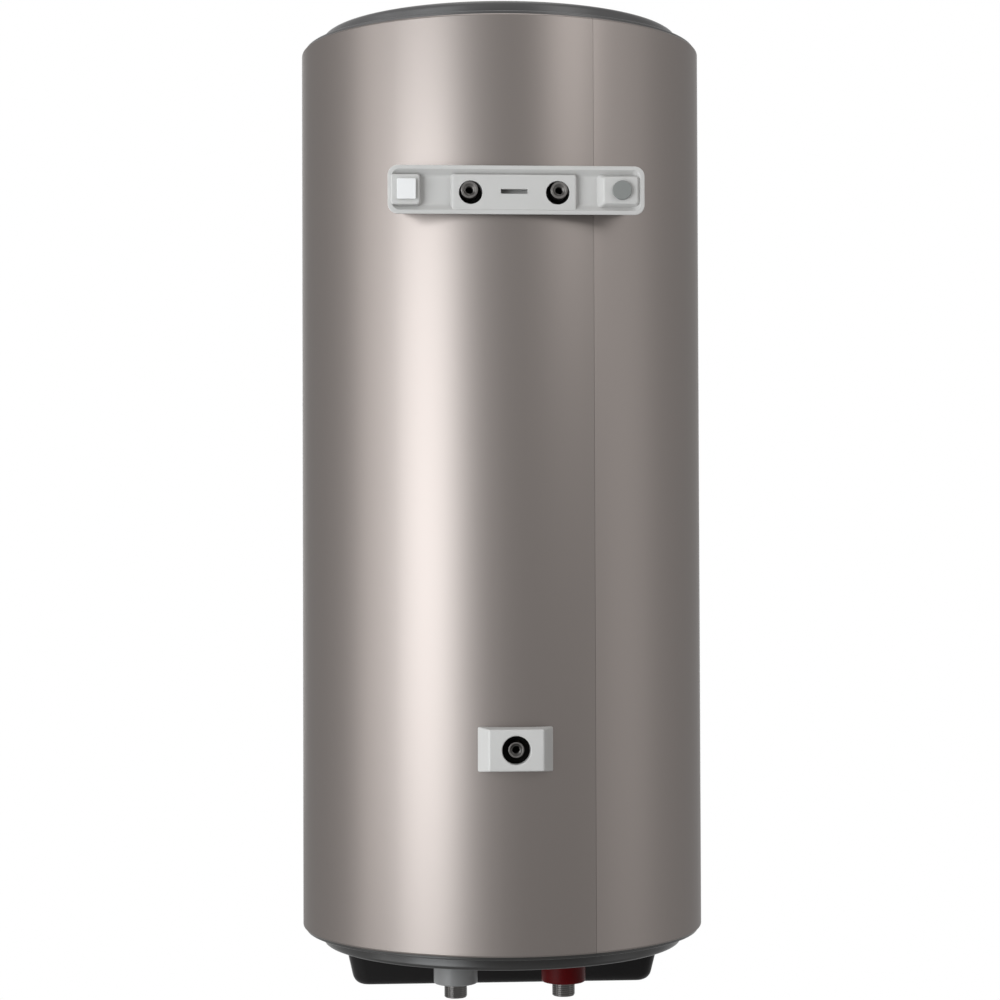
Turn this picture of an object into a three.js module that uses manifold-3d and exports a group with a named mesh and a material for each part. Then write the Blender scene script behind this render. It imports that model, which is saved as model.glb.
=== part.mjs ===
// Wall-hung electric tank water heater: a slim round tank of about 58 litres.
// Millimetres, +Z up, +Y towards the wall. The origin lies in the wall plane, midway between the two
// upper threaded bosses. Pieces are built about the tank's own axis, and one group at the end carries
// the whole heater forward from the wall.

import * as THREE from "three";
import { mergeVertices } from "three/addons/utils/BufferGeometryUtils.js";
import Module from "manifold-3d";

const wasm = await Module();
wasm.setup();

// ---------------------------------------------------------------- driving dimensions

const CASING_RADIUS = 192.5;
const CASING_HEIGHT = 842;
const CASING_TOP = 160; // above the upper bosses
const SHEET = 0.8;
const LID_RADIUS = 173;
const TOP_LID_STEP = 16;
const BOTTOM_LID_STEP = 15;
const PLASTIC = 2.5; // wall of the plastic mouldings
const WALL_GAP = 12; // from the wall to the casing
const TANK_RADIUS = 160;
const TANK_SHELL = 2;
const DOME_RISE = 45;
const NECK_RADIUS = 44;
const NECK_SETBACK = -43; // the flanged neck stands this far in front of the tank's axis
const PIPE_RADIUS = 10.475; // G1/2 thread, outside
const PIPE_BORE = 8;
const PIPE_SPACING = 100;
const PIPE_SETBACK = 103; // from the tank's axis towards the wall
const PIPE_REACH = 36; // below the bottom lid
const BOSS_SPACING = 80;
const BOSS_HOLE_SPACING = 77.6; // the tray's holes, a little nearer together than the bosses
const BOSS_HOLE_DROP = 2.2; // and a little lower
const LOWER_BOSS_DROP = 497; // below the upper bosses
const RING_RADIUS = 20.3;
const COVER_RADIUS = 152.5;
const COVER_CORNER = 15; // where its round side meets its straight rear
const COVER_DEPTH = 42;
const COVER_DRAFT = 0.06; // the cover is this share narrower at its bottom
const TRAY_WIDTH = 229.5;
const TRAY_HEIGHT = 43.8;
const TRAY_SHIFT = -2; // the tray's outline from the middle of its bosses
const THERMOMETER_DROP = 540;
const GAP = 0.3; // between pieces that touch

// ---------------------------------------------------------------- places worked out from them

const WALL = CASING_RADIUS + WALL_GAP;
const CASING_BOTTOM = CASING_TOP - CASING_HEIGHT;
const LID_UNDERSIDE = CASING_BOTTOM - BOTTOM_LID_STEP;
const PIPE_END = LID_UNDERSIDE - PIPE_REACH;
const COVER_BOTTOM = LID_UNDERSIDE - COVER_DEPTH;
const COVER_TOP = LID_UNDERSIDE - GAP;
const DOME_LOW = -600; // where the tank's cylinder meets its lower dome
const DOME_HIGH = 85;
const FLANGE_FACE = CASING_BOTTOM + 11; // underside of the tank's flange collar
const PLATE_TOP = FLANGE_FACE - 3;
const PLATE_BOTTOM = PLATE_TOP - 6;
const FRONT = 135; // from the axis to the flat front of the service cover
const CONTROL_HEIGHT = (COVER_BOTTOM + COVER_TOP) / 2;
const BACK_OF_WEB = WALL - 28.3; // mounting channels, inside the foam
const FRONT_OF_WEB = WALL - 24.3;
const SHELL_SIDES = 48;
const TANK_SIDES = 32;
const HALF_TURN = Math.PI;

// ---------------------------------------------------------------- solids

const degrees = (angle) => (angle * Math.PI) / 180;

function toSolid(geometry) {
  const bare = geometry.clone();
  bare.deleteAttribute("normal");
  bare.deleteAttribute("uv");
  const merged = mergeVertices(bare, 1e-4);
  return new wasm.Manifold(
    new wasm.Mesh({
      numProp: 3,
      vertProperties: new Float32Array(merged.attributes.position.array),
      triVerts: new Uint32Array(merged.index.array),
    }),
  );
}

function toGeometry(solid) {
  const mesh = solid.getMesh();
  const geometry = new THREE.BufferGeometry();
  geometry.setAttribute("position", new THREE.BufferAttribute(new Float32Array(mesh.vertProperties), 3));
  geometry.setIndex(new THREE.BufferAttribute(new Uint32Array(mesh.triVerts), 1));
  return geometry;
}

const cut = (geometry, ...tools) =>
  toGeometry(tools.reduce((solid, tool) => solid.subtract(toSolid(tool)), toSolid(geometry)));

const join = (first, ...others) =>
  toGeometry(others.reduce((solid, other) => solid.add(toSolid(other)), toSolid(first)));

// A profile of [radius, height] points turned about Z; it closes on the axis or on its first point.
function turned(profile, sides) {
  const points = profile.map(([radius, height]) => new THREE.Vector2(radius, height));
  return new THREE.LatheGeometry(points, sides).rotateX(HALF_TURN / 2);
}

const disc = (radius, low, high, sides = 24) =>
  turned([[0, low], [radius, low], [radius, high], [0, high]], sides);

const tube = (bore, radius, low, high, sides = 24) =>
  turned([[bore, low], [radius, low], [radius, high], [bore, high], [bore, low]], sides);

const box = ([x0, x1], [y0, y1], [z0, z1]) =>
  new THREE.BoxGeometry(x1 - x0, y1 - y0, z1 - z0).translate((x0 + x1) / 2, (y0 + y1) / 2, (z0 + z1) / 2);

// Solids built along Z and then laid down: towards the wall (+Y), or towards the room (-Y).
const towardsWall = (geometry) => geometry.rotateX(-HALF_TURN / 2);
const facingRoom = (geometry) => geometry.rotateX(HALF_TURN / 2);

function prism(shape, low, high, curveSegments = 6) {
  const extrusion = { depth: high - low, bevelEnabled: false, curveSegments };
  return new THREE.ExtrudeGeometry(shape, extrusion).translate(0, 0, low);
}

const hexagon = (acrossFlats, low, high) => disc(acrossFlats / Math.sqrt(3), low, high, 6);

function roundedRectangle(width, height, corner) {
  const [x, y] = [width / 2, height / 2];
  const shape = new THREE.Shape();
  shape.absarc(x - corner, y - corner, corner, 0, HALF_TURN / 2);
  shape.absarc(-x + corner, y - corner, corner, HALF_TURN / 2, HALF_TURN);
  shape.absarc(-x + corner, -y + corner, corner, HALF_TURN, 1.5 * HALF_TURN);
  shape.absarc(x - corner, -y + corner, corner, 1.5 * HALF_TURN, 2 * HALF_TURN);
  return shape;
}

// A block that faces the wall, with its front and back faces of different sizes: {y, width, height}.
function block(front, back, corner, { x = 0, z = 0 } = {}) {
  const depth = front.y - back.y;
  const shape = roundedRectangle(front.width, front.height, corner);
  const geometry = prism(shape, 0, depth, 4);
  const position = geometry.attributes.position;
  for (let i = 0; i < position.count; i += 1) {
    const share = 1 - position.getZ(i) / depth;
    const wide = 1 + share * (back.width / front.width - 1);
    const high = 1 + share * (back.height / front.height - 1);
    position.setXY(i, position.getX(i) * wide, position.getY(i) * high);
  }
  return towardsWall(geometry).translate(x, back.y, z);
}

// A round bar through given points, each its own ring of the surface.
class RoutePoints extends THREE.Curve {
  constructor(points) {
    super();
    this.points = points;
  }

  getPoint(share) {
    const last = this.points.length - 1;
    return this.points[Math.round(share * last)].clone();
  }

  getPointAt(share) {
    return this.getPoint(share);
  }

  getTangent(share) {
    const last = this.points.length - 1;
    const index = Math.round(share * last);
    const ahead = this.points[Math.min(index + 1, last)];
    const behind = this.points[Math.max(index - 1, 0)];
    return ahead.clone().sub(behind).normalize();
  }

  getTangentAt(share) {
    return this.getTangent(share);
  }
}

function bar(points, radius, sides) {
  const section = new THREE.Shape();
  section.absarc(0, 0, radius, 0, 2 * HALF_TURN);
  return new THREE.ExtrudeGeometry(section, {
    steps: points.length - 1,
    extrudePath: new RoutePoints(points),
    curveSegments: sides,
    bevelEnabled: false,
  });
}

// Points along a smooth route through hand-picked places.
const route = (places, steps) =>
  new THREE.CatmullRomCurve3(places.map((place) => new THREE.Vector3(...place))).getPoints(steps);

// ---------------------------------------------------------------- finishes

const finish = (color, roughness, metalness) =>
  new THREE.MeshStandardMaterial({ color, roughness, metalness });

const CHAMPAGNE = finish(0x8f857f, 0.35, 0.8);
const LID_GREY = finish(0x565555, 0.5, 0);
const BLACK_PLASTIC = finish(0x1b1a1a, 0.45, 0);
const PALE_PLASTIC = finish(0xc2c2c1, 0.55, 0);
const WHITE_PAD = finish(0xe2e2e2, 0.7, 0);
const MID_GREY = finish(0x828482, 0.6, 0);
const RING_GREY = finish(0x858585, 0.5, 0);
const RING_RED = finish(0x8c0608, 0.45, 0);
const CHROME = finish(0xb9b7b2, 0.15, 1);
const ZINC = finish(0x9a9a98, 0.4, 0.9);
const ENAMEL = finish(0x2d4466, 0.4, 0.3);
const FOAM = finish(0xe6d9ae, 0.9, 0);
const COPPER = finish(0xb87348, 0.35, 1);
const MAGNESIUM = finish(0xa8a9a8, 0.6, 0.8);
const SEAL = finish(0x1a1a1a, 0.9, 0);
const SWITCH_RED = finish(0xb3201c, 0.35, 0);
const LAMP = finish(0xe06a2a, 0.2, 0);
const GLASS = finish(0xf2f6f7, 0.05, 0);
const DIAL_WHITE = finish(0xf1f1ee, 0.6, 0);
const WIRE_BROWN = finish(0x6b3f22, 0.5, 0);
const WIRE_BLUE = finish(0x2f5fa8, 0.5, 0);
const WIRE_GREEN = finish(0x5f9a3a, 0.5, 0);

function piece(name, geometry, material, place = [0, 0, 0]) {
  const mesh = new THREE.Mesh(geometry, material);
  mesh.name = name;
  mesh.position.set(...place);
  return mesh;
}

function together(place, ...members) {
  const group = new THREE.Group();
  group.position.set(...place);
  group.add(...members);
  return group;
}

// ---------------------------------------------------------------- rear openings

// The tray's outline, drafted so that it narrows towards the tank; grown gives room round it.
const trayOutline = (grown) =>
  block(
    { y: WALL - 4 + grown, width: TRAY_WIDTH + 2 * grown, height: TRAY_HEIGHT + 2 * grown },
    { y: WALL - 62, width: TRAY_WIDTH - 18 + 2 * grown, height: TRAY_HEIGHT - 18 + 2 * grown },
    8,
    { x: TRAY_SHIFT },
  );

const roundTheAxis = (radius) => disc(radius, CASING_BOTTOM - 60, CASING_TOP + 60, SHELL_SIDES);

const TRAY_DEPTH_LINE = CASING_RADIUS - 6; // the tray's walls end this far from the axis

// ---------------------------------------------------------------- casing and lids

const SEAM_ANGLE = degrees(112.3); // from +X, so 22.3 degrees to one side of the rear

function outerCasing() {
  const [low, high, outside] = [CASING_BOTTOM, CASING_TOP, CASING_RADIUS];
  const lip = outside - 5; // the sheet's edges are turned in over the lids
  const shell = turned(
    [
      [lip, low], [outside - 2, low], [outside, low + 2],
      [outside, high - 2], [outside - 2, high], [lip, high],
      [lip, high - SHEET], [outside - 2.3, high - SHEET], [outside - SHEET, high - 2.3],
      [outside - SHEET, low + 2.3], [outside - 2.3, low + SHEET], [lip, low + SHEET],
      [lip, low],
    ],
    SHELL_SIDES,
  );
  const seam = box([outside - 0.65, outside + 1], [-0.45, 0.45], [low + 2.4, high - 2.4]).rotateZ(SEAM_ANGLE);
  const bossHole = towardsWall(disc(13.5, 150, WALL, 32)).translate(0, 0, -LOWER_BOSS_DROP);
  const thermometerHole = towardsWall(disc(20.6, -WALL, -150, 32)).translate(0, 0, -THERMOMETER_DROP);
  return cut(shell, seam, trayOutline(GAP), bossHole, thermometerHole);
}

// One lid, standing on the casing's turned-in edge at height 0 and rising by its step to its top.
function lidProfile(top) {
  return [
    [0, top], [LID_RADIUS - 2, top], [LID_RADIUS, top - 2], [LID_RADIUS, 2.8],
    [189.5, 2.8], [189.5, GAP], [187, GAP], [187, -10], [184.5, -10],
    [184.5, GAP], [LID_RADIUS - PLASTIC, GAP], [LID_RADIUS - PLASTIC, top - PLASTIC], [0, top - PLASTIC],
  ];
}

const topLid = () => turned(lidProfile(TOP_LID_STEP).reverse(), SHELL_SIDES).translate(0, 0, CASING_TOP);

const PIPE_PLACES = [1, -1].map((side) => [(side * PIPE_SPACING) / 2, PIPE_SETBACK]);
const SCREW_PLACES = [[118, -4], [-118, -4], [95, -85], [-95, -85]];

function bottomLid() {
  const upsideDown = lidProfile(BOTTOM_LID_STEP).map(([radius, height]) => [radius, -height]);
  const shell = turned(upsideDown, SHELL_SIDES).translate(0, 0, CASING_BOTTOM);
  const bosses = SCREW_PLACES.map(([x, y]) =>
    disc(5, LID_UNDERSIDE + 1, LID_UNDERSIDE + 12, 16).translate(x, y, 0),
  );
  const screwHoles = SCREW_PLACES.map(([x, y]) =>
    disc(2.4, LID_UNDERSIDE - 1, LID_UNDERSIDE + 13, 12).translate(x, y, 0),
  );
  const serviceOpening = disc(64, LID_UNDERSIDE - 1, CASING_BOTTOM - 2, 28).translate(0, NECK_SETBACK, 0);
  const pipeHoles = PIPE_PLACES.map(([x, y]) =>
    disc(PIPE_RADIUS + 0.8, LID_UNDERSIDE - 1, CASING_BOTTOM - 2).translate(x, y, 0),
  );
  return cut(join(shell, ...bosses), serviceOpening, ...screwHoles, ...pipeHoles);
}

// ---------------------------------------------------------------- tank and foam

// Points of a dome from the axis out to the cylinder, rising or falling from its edge.
function dome(radius, rise, edge) {
  const points = 3;
  return Array.from({ length: points + 1 }, (_, i) => {
    const angle = (HALF_TURN / 2) * (1 - i / points);
    return [radius * Math.cos(angle), edge + rise * Math.sin(angle)];
  });
}

// The outside of a domed vessel, as one turned solid.
const vessel = (radius, rise) =>
  turned([...dome(radius, -rise, DOME_LOW), ...dome(radius, rise, DOME_HIGH).reverse()], TANK_SIDES);

function innerTank() {
  const shell = cut(vessel(TANK_RADIUS, DOME_RISE), vessel(TANK_RADIUS - TANK_SHELL, DOME_RISE - TANK_SHELL));
  const neck = disc(NECK_RADIUS, FLANGE_FACE, DOME_LOW - 38, 28).translate(0, NECK_SETBACK, 0);
  const collar = disc(58, FLANGE_FACE, FLANGE_FACE + 6, 28).translate(0, NECK_SETBACK, 0);
  const bore = disc(NECK_RADIUS - 4, FLANGE_FACE - 1, DOME_LOW, 28).translate(0, NECK_SETBACK, 0);
  const pipeHoles = PIPE_PLACES.map(([x, y]) =>
    disc(PIPE_RADIUS + 0.4, DOME_LOW - 60, DOME_LOW + 10).translate(x, y, 0),
  );
  const boltHoles = BOLT_PLACES.map(([x, y]) =>
    disc(3.4, FLANGE_FACE - 1, FLANGE_FACE + 7, 12).translate(x, y + NECK_SETBACK, 0),
  );
  return cut(join(shell, neck, collar), bore, ...pipeHoles, ...boltHoles);
}

function foamInsulation() {
  const [low, high] = [CASING_BOTTOM + 10.5, CASING_TOP - 10.5];
  const filling = disc(CASING_RADIUS - 1.9, low, high, TANK_SIDES);
  const tankRoom = vessel(TANK_RADIUS + 0.4, DOME_RISE + 0.4);
  const neckRoom = disc(60, low - 1, DOME_LOW, 28).translate(0, NECK_SETBACK, 0);
  const pipeRoom = PIPE_PLACES.map(([x, y]) =>
    disc(PIPE_RADIUS + 0.6, low - 1, DOME_LOW + 5).translate(x, y, 0),
  );
  const trayRoom = cut(trayOutline(GAP), roundTheAxis(TRAY_DEPTH_LINE - GAP));
  const upperRoom = box([-54, 54], [120, WALL], [-17, 17]);
  const lowerRoom = box([-29, 29], [120, WALL], [-16, 16]).translate(0, 0, -LOWER_BOSS_DROP);
  const thermometerRoom = towardsWall(disc(20.6, -WALL, -165)).translate(0, 0, -THERMOMETER_DROP);
  return cut(filling, tankRoom, neckRoom, ...pipeRoom, trayRoom, upperRoom, lowerRoom, thermometerRoom);
}

// ---------------------------------------------------------------- wall fixings

// A pressed channel with its web towards the wall and its two legs trimmed to the tank's curve.
function mountingChannel(halfWidth, halfHeight) {
  const web = box([-halfWidth, halfWidth], [BACK_OF_WEB, FRONT_OF_WEB], [-halfHeight, halfHeight]);
  const legs = [1, -1].map((side) => {
    const reach = [side * halfWidth, side * (halfWidth - 4)].sort((a, b) => a - b);
    return box(reach, [110, BACK_OF_WEB + 1], [-halfHeight, halfHeight]);
  });
  return cut(join(web, ...legs), disc(TANK_RADIUS + GAP, -halfHeight - 1, halfHeight + 1, TANK_SIDES));
}

const threadedBoss = (radius, face) =>
  towardsWall(tube(4.25, radius, FRONT_OF_WEB + GAP, face, 24));

const PANEL_FACE = WALL - 5;
const UPPER_BOSS_FACE = PANEL_FACE + 0.4;
const LOWER_BOSS_FACE = WALL - 5;
const PAD_BASE = WALL - 3;
const TOWER_X = 96;

function hangerTray() {
  const floor = WALL - 16;
  const rim = 3.5;
  const [innerWidth, innerHeight] = [TRAY_WIDTH - 2 * rim, TRAY_HEIGHT - 2 * rim];
  const front = WALL - 4;
  const basin = block(
    { y: front + 0.1, width: innerWidth, height: innerHeight },
    { y: floor, width: innerWidth - 6, height: innerHeight - 6 },
    5,
    { x: TRAY_SHIFT },
  );
  const hollow = block(
    { y: floor - 2.4, width: TRAY_WIDTH - 9, height: TRAY_HEIGHT - 9 },
    { y: WALL - 62.1, width: TRAY_WIDTH - 22.4, height: TRAY_HEIGHT - 22.4 },
    5,
    { x: TRAY_SHIFT },
  );
  const below = floor - 1;
  const panel = block(
    { y: PANEL_FACE, width: 110, height: 32 },
    { y: below, width: 113, height: 34 },
    1.5,
    { z: -BOSS_HOLE_DROP },
  );
  const leftTower = block(
    { y: PAD_BASE - GAP, width: 24.5, height: 26.5 },
    { y: below, width: 28, height: 29.5 },
    1.2,
    { x: TOWER_X },
  );
  const rightTower = block(
    { y: PAD_BASE - GAP, width: 24, height: 22 },
    { y: below, width: 41, height: 32 },
    1.2,
    { x: 3 - TOWER_X },
  );
  const bossHole = towardsWall(disc(10.5, floor - 5, WALL, 28)).translate(0, 0, -BOSS_HOLE_DROP);
  const bossHoles = [1, -1].map((side) => bossHole.clone().translate((side * BOSS_HOLE_SPACING) / 2, 0, 0));
  const slot = box([-12, 12], [floor - 5, WALL], [-3.4, 0.9]);
  const shell = cut(trayOutline(0), basin, hollow);
  return cut(join(shell, panel, leftTower, rightTower), ...bossHoles, slot, roundTheAxis(TRAY_DEPTH_LINE));
}

function lowerSpacer() {
  const body = block({ y: WALL, width: 49, height: 37 }, { y: WALL - 24, width: 78.6, height: 42 }, 1);
  const hole = towardsWall(disc(12.75, 150, WALL + 1, 32));
  const casing = disc(CASING_RADIUS + GAP, -40, 40, SHELL_SIDES);
  return cut(body, hole, casing);
}

// ---------------------------------------------------------------- pipes

const pipe = (high) => tube(PIPE_BORE, PIPE_RADIUS, PIPE_END, high, 24);

function pipeRing() {
  const [bore, outside, low] = [PIPE_RADIUS + 0.6, RING_RADIUS, LID_UNDERSIDE - 23];
  return turned(
    [
      [bore, low], [outside - 1.5, low], [outside, low + 1.5],
      [outside, LID_UNDERSIDE - GAP], [bore, LID_UNDERSIDE - GAP], [bore, low],
    ],
    24,
  );
}

// A slotted cap that spreads the cold water as it comes in.
function inletDiffuser() {
  const [low, high] = [DOME_LOW - 4, DOME_LOW + 22];
  const cap = turned(
    [
      [PIPE_RADIUS + GAP, low], [15, low], [15, high], [0, high],
      [0, high - 2], [PIPE_RADIUS + GAP, high - 2], [PIPE_RADIUS + GAP, low],
    ],
    24,
  );
  const slots = [0, 60, 120].map((angle) =>
    box([-16, 16], [-2, 2], [high - 12, high - 5]).rotateZ(degrees(angle)),
  );
  return cut(cap, ...slots);
}

// ---------------------------------------------------------------- flange and what it carries

const BOLT_COUNT = 5;
const BOLT_CIRCLE = 51;
const BOLT_PLACES = Array.from({ length: BOLT_COUNT }, (_, i) => {
  const angle = degrees(90 + (360 / BOLT_COUNT) * i);
  return [BOLT_CIRCLE * Math.cos(angle), BOLT_CIRCLE * Math.sin(angle)];
});
const ELEMENTS = [
  { name: "heating_element_long", x: 10, top: -330 },
  { name: "heating_element_short", x: 27, top: -440 },
];
const ELEMENT_LEG = 13; // from the hairpin's middle to each leg
const WELL_PLACE = [-9, -15];
const ANODE_PLACE = [-9, 17];
const CUTOUT_PLACE = [-28, -12];
const EARTH_PLACE = [-30, 14];

function flangePlate() {
  const holes = [
    ...BOLT_PLACES.map((place) => [place, 3.8]),
    ...ELEMENTS.flatMap(({ x }) => [[[x, ELEMENT_LEG], 4.6], [[x, -ELEMENT_LEG], 4.6]]),
    [WELL_PLACE, 5.4],
    [ANODE_PLACE, 4.4],
    [EARTH_PLACE, 2.4],
  ].map(([[x, y], radius]) => disc(radius, PLATE_BOTTOM - 1, PLATE_TOP + 1, 8).translate(x, y, 0));
  return cut(disc(58, PLATE_BOTTOM, PLATE_TOP, 28), ...holes);
}

const flangeGasket = () => tube(37, 46, PLATE_TOP + GAP, FLANGE_FACE - GAP, 28);

const flangeBolt = () =>
  join(
    hexagon(13, PLATE_BOTTOM - 5.6, PLATE_BOTTOM - GAP),
    disc(3, PLATE_BOTTOM - 1, FLANGE_FACE + 5, 12),
  );

const ELEMENT_FOOT = PLATE_BOTTOM - 11;
const EARTH_FOOT = PLATE_BOTTOM - 12;

// A hairpin: up one leg, over the bend and down the other; its cold ends stand below the plate.
function heatingElement(top) {
  const bend = Array.from({ length: 9 }, (_, i) => {
    const angle = (i / 8) * HALF_TURN;
    return new THREE.Vector3(0, ELEMENT_LEG * Math.cos(angle), top + ELEMENT_LEG * Math.sin(angle));
  });
  const [up, down] = [1, -1].map((side) => new THREE.Vector3(0, side * ELEMENT_LEG, ELEMENT_FOOT));
  return bar([up, ...bend, down], 4.2, 4);
}

const anodeRod = () =>
  turned(
    [
      [0, PLATE_BOTTOM - 9], [4, PLATE_BOTTOM - 9], [4, PLATE_TOP + 2], [11, PLATE_TOP + 4],
      [11, PLATE_TOP + 300], [0, PLATE_TOP + 300],
    ],
    16,
  );

const thermowell = () =>
  turned(
    [
      [3.6, PLATE_BOTTOM - 3], [7, PLATE_BOTTOM - 3], [7, PLATE_BOTTOM - GAP], [5, PLATE_BOTTOM - GAP],
      [5, PLATE_TOP + 240], [0, PLATE_TOP + 240], [0, PLATE_TOP + 238.5], [3.6, PLATE_TOP + 238.5],
      [3.6, PLATE_BOTTOM - 3],
    ],
    12,
  );

const CUTOUT_TOP = PLATE_BOTTOM - GAP;
const CUTOUT_BOTTOM = CUTOUT_TOP - 20;

const thermalCutout = () =>
  cut(
    disc(11, CUTOUT_BOTTOM, CUTOUT_TOP, 20),
    disc(3.4, CUTOUT_BOTTOM - 1, CUTOUT_BOTTOM + 9, 16),
    disc(4.9, CUTOUT_BOTTOM + 3, CUTOUT_BOTTOM + 9, 16),
  );

// The button's collar is held behind the case's mouth, and travels up into the room above it.
const resetButton = () =>
  turned(
    [
      [0, CUTOUT_BOTTOM - 3], [2.9, CUTOUT_BOTTOM - 3], [2.9, CUTOUT_BOTTOM + 3.4],
      [4.4, CUTOUT_BOTTOM + 3.4], [4.4, CUTOUT_BOTTOM + 5], [0, CUTOUT_BOTTOM + 5],
    ],
    16,
  );

const earthStud = () =>
  join(disc(2, EARTH_FOOT, PLATE_TOP - 1, 12), hexagon(8, PLATE_BOTTOM - 4, PLATE_BOTTOM - GAP));

// ---------------------------------------------------------------- service cover

// A D seen from below: most of a circle, a straight rear wall and a flat front for the controls.
function coverOutline(inset) {
  const [radius, rear, front] = [COVER_RADIUS - inset, 25 - inset, inset - FRONT];
  const corner = COVER_CORNER - inset;
  const cornerY = rear - corner;
  const cornerX = Math.sqrt((radius - corner) ** 2 - cornerY ** 2);
  const lean = Math.atan2(cornerY, cornerX);
  const frontAngle = Math.asin(front / radius);
  const shape = new THREE.Shape();
  shape.absarc(0, 0, radius, frontAngle, lean);
  shape.absarc(cornerX, cornerY, corner, lean, HALF_TURN / 2);
  shape.absarc(-cornerX, cornerY, corner, HALF_TURN / 2, HALF_TURN - lean);
  shape.absarc(0, 0, radius, HALF_TURN - lean, HALF_TURN - frontAngle);
  return shape;
}

// The outline carried down, drafted on every side but the flat front.
function coverBody(inset, low, edge) {
  const body = new THREE.ExtrudeGeometry(coverOutline(inset), {
    depth: COVER_DEPTH,
    bevelThickness: edge,
    bevelSize: edge,
    bevelOffset: -edge,
    bevelSegments: 2,
    curveSegments: 7,
  }).translate(0, 0, low + edge);
  const position = body.attributes.position;
  for (let i = 0; i < position.count; i += 1) {
    const [x, y, z] = [position.getX(i), position.getY(i), position.getZ(i)];
    const narrowed = 1 - (COVER_DRAFT * (COVER_TOP - z)) / COVER_DEPTH;
    position.setXY(i, x * narrowed, (y + FRONT) * narrowed - FRONT);
  }
  return cut(body, box([-200, 200], [-200, 200], [COVER_TOP + (inset ? 2 : 0), COVER_TOP + 80]));
}

const KNOB_X = -34;
const LAMP_X = -4;
const SWITCHES = [
  { name: "left", x: 16 },
  { name: "right", x: 40 },
];
const GLAND_PLACE = [58, -98];

function serviceCover() {
  const shell = cut(coverBody(0, COVER_BOTTOM, 8), coverBody(PLASTIC, COVER_BOTTOM + PLASTIC, 6));
  const posts = SCREW_PLACES.map(([x, y]) => disc(6, COVER_BOTTOM + 1, COVER_TOP, 16).translate(x, y, 0));
  const screwWays = SCREW_PLACES.flatMap(([x, y]) => [
    disc(2.4, COVER_BOTTOM - 1, COVER_TOP + 1, 12).translate(x, y, 0),
    disc(4.6, COVER_BOTTOM - 1, COVER_BOTTOM + 4, 16).translate(x, y, 0),
  ]);
  const shaftHole = facingRoom(disc(3.6, FRONT - 4, FRONT + 1, 16)).translate(KNOB_X, 0, CONTROL_HEIGHT);
  const lampHole = facingRoom(disc(4.4, FRONT - 4, FRONT + 1, 16)).translate(LAMP_X, 0, CONTROL_HEIGHT);
  const switchHoles = SWITCHES.map(({ x }) =>
    box([-8.8, 8.8], [-FRONT - 1, 4 - FRONT], [-11.3, 11.3]).translate(x, 0, CONTROL_HEIGHT),
  );
  const glandHoles = [
    disc(13.4, COVER_BOTTOM - 1, COVER_BOTTOM + 1.4, 24),
    disc(9.9, COVER_BOTTOM - 1, COVER_BOTTOM + 4, 24),
  ].map((hole) => hole.translate(...GLAND_PLACE, 0));
  return cut(join(shell, ...posts), ...screwWays, shaftHole, lampHole, ...switchHoles, ...glandHoles);
}

const coverScrew = () =>
  join(
    cut(
      disc(4.2, COVER_BOTTOM + 1, COVER_BOTTOM + 3.6, 16),
      box([-2.6, 2.6], [-0.5, 0.5], [COVER_BOTTOM, COVER_BOTTOM + 2.2]),
      box([-0.5, 0.5], [-2.6, 2.6], [COVER_BOTTOM, COVER_BOTTOM + 2.2]),
    ),
    disc(2, COVER_BOTTOM + 3, LID_UNDERSIDE + 11, 12),
  );

const cableGland = () =>
  turned(
    [
      [5.6, COVER_BOTTOM], [13, COVER_BOTTOM], [13, COVER_BOTTOM + 1.1], [9.5, COVER_BOTTOM + 1.1],
      [9.5, COVER_BOTTOM + 14], [5.6, COVER_BOTTOM + 14], [5.6, COVER_BOTTOM],
    ],
    24,
  );

// ---------------------------------------------------------------- controls on the cover's front

const thermostatBody = () => box([-15, 15], [PLASTIC + GAP - FRONT, 26 - FRONT], [-10.5, 10.5]);

const thermostatShaft = () => facingRoom(disc(3, FRONT - PLASTIC, FRONT + 11, 16));

function thermostatKnob() {
  const grip = new THREE.Shape();
  const flutes = 12;
  for (let i = 0; i < flutes * 3; i += 1) {
    const angle = (i / (flutes * 3)) * 2 * HALF_TURN;
    const radius = 13.2 + 0.6 * Math.cos(angle * flutes);
    const corner = [radius * Math.cos(angle), radius * Math.sin(angle)];
    if (i) grip.lineTo(...corner);
    else grip.moveTo(...corner);
  }
  const body = prism(grip, FRONT + 2, FRONT + 14);
  const bore = disc(3.3, FRONT + 1, FRONT + 11.5, 16);
  const mark = box([-0.7, 0.7], [5, 14], [FRONT + 13, FRONT + 15]);
  return facingRoom(cut(body, bore, mark));
}

const dialRing = () => facingRoom(tube(14.8, 17.6, FRONT + GAP, FRONT + 1.3, 28));

function switchHousing() {
  const face = -FRONT - 1.8;
  const frame = box([-10, 10], [face, -FRONT - GAP], [-13, 13]);
  const body = box([-8.5, 8.5], [-FRONT - 1, 18 - FRONT], [-11, 11]);
  const well = box([-7, 7], [face - 1, 7 - FRONT], [-9.8, 9.8]);
  const pivotHole = disc(1.5, -9, 9, 12).rotateY(HALF_TURN / 2).translate(0, 1 - FRONT, 0);
  return cut(join(frame, body), well, pivotHole);
}

const ROCKER_TILT = 8;

// A rocker seen from its side, about its pivot, drawn with outward along -Y and leaning one way.
function switchRocker() {
  const side = new THREE.Shape();
  side.moveTo(-8.6, -3.6);
  side.lineTo(0, -2.2);
  side.lineTo(8.6, -3.6);
  side.lineTo(8, 1.5);
  side.lineTo(0, 3);
  side.lineTo(-8, 1.5);
  side.closePath();
  const body = prism(side, -6.6, 6.6).rotateY(-HALF_TURN / 2);
  const pivot = disc(1.2, -8.2, 8.2, 12).rotateY(HALF_TURN / 2);
  return join(body, pivot).rotateX(degrees(ROCKER_TILT));
}

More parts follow.
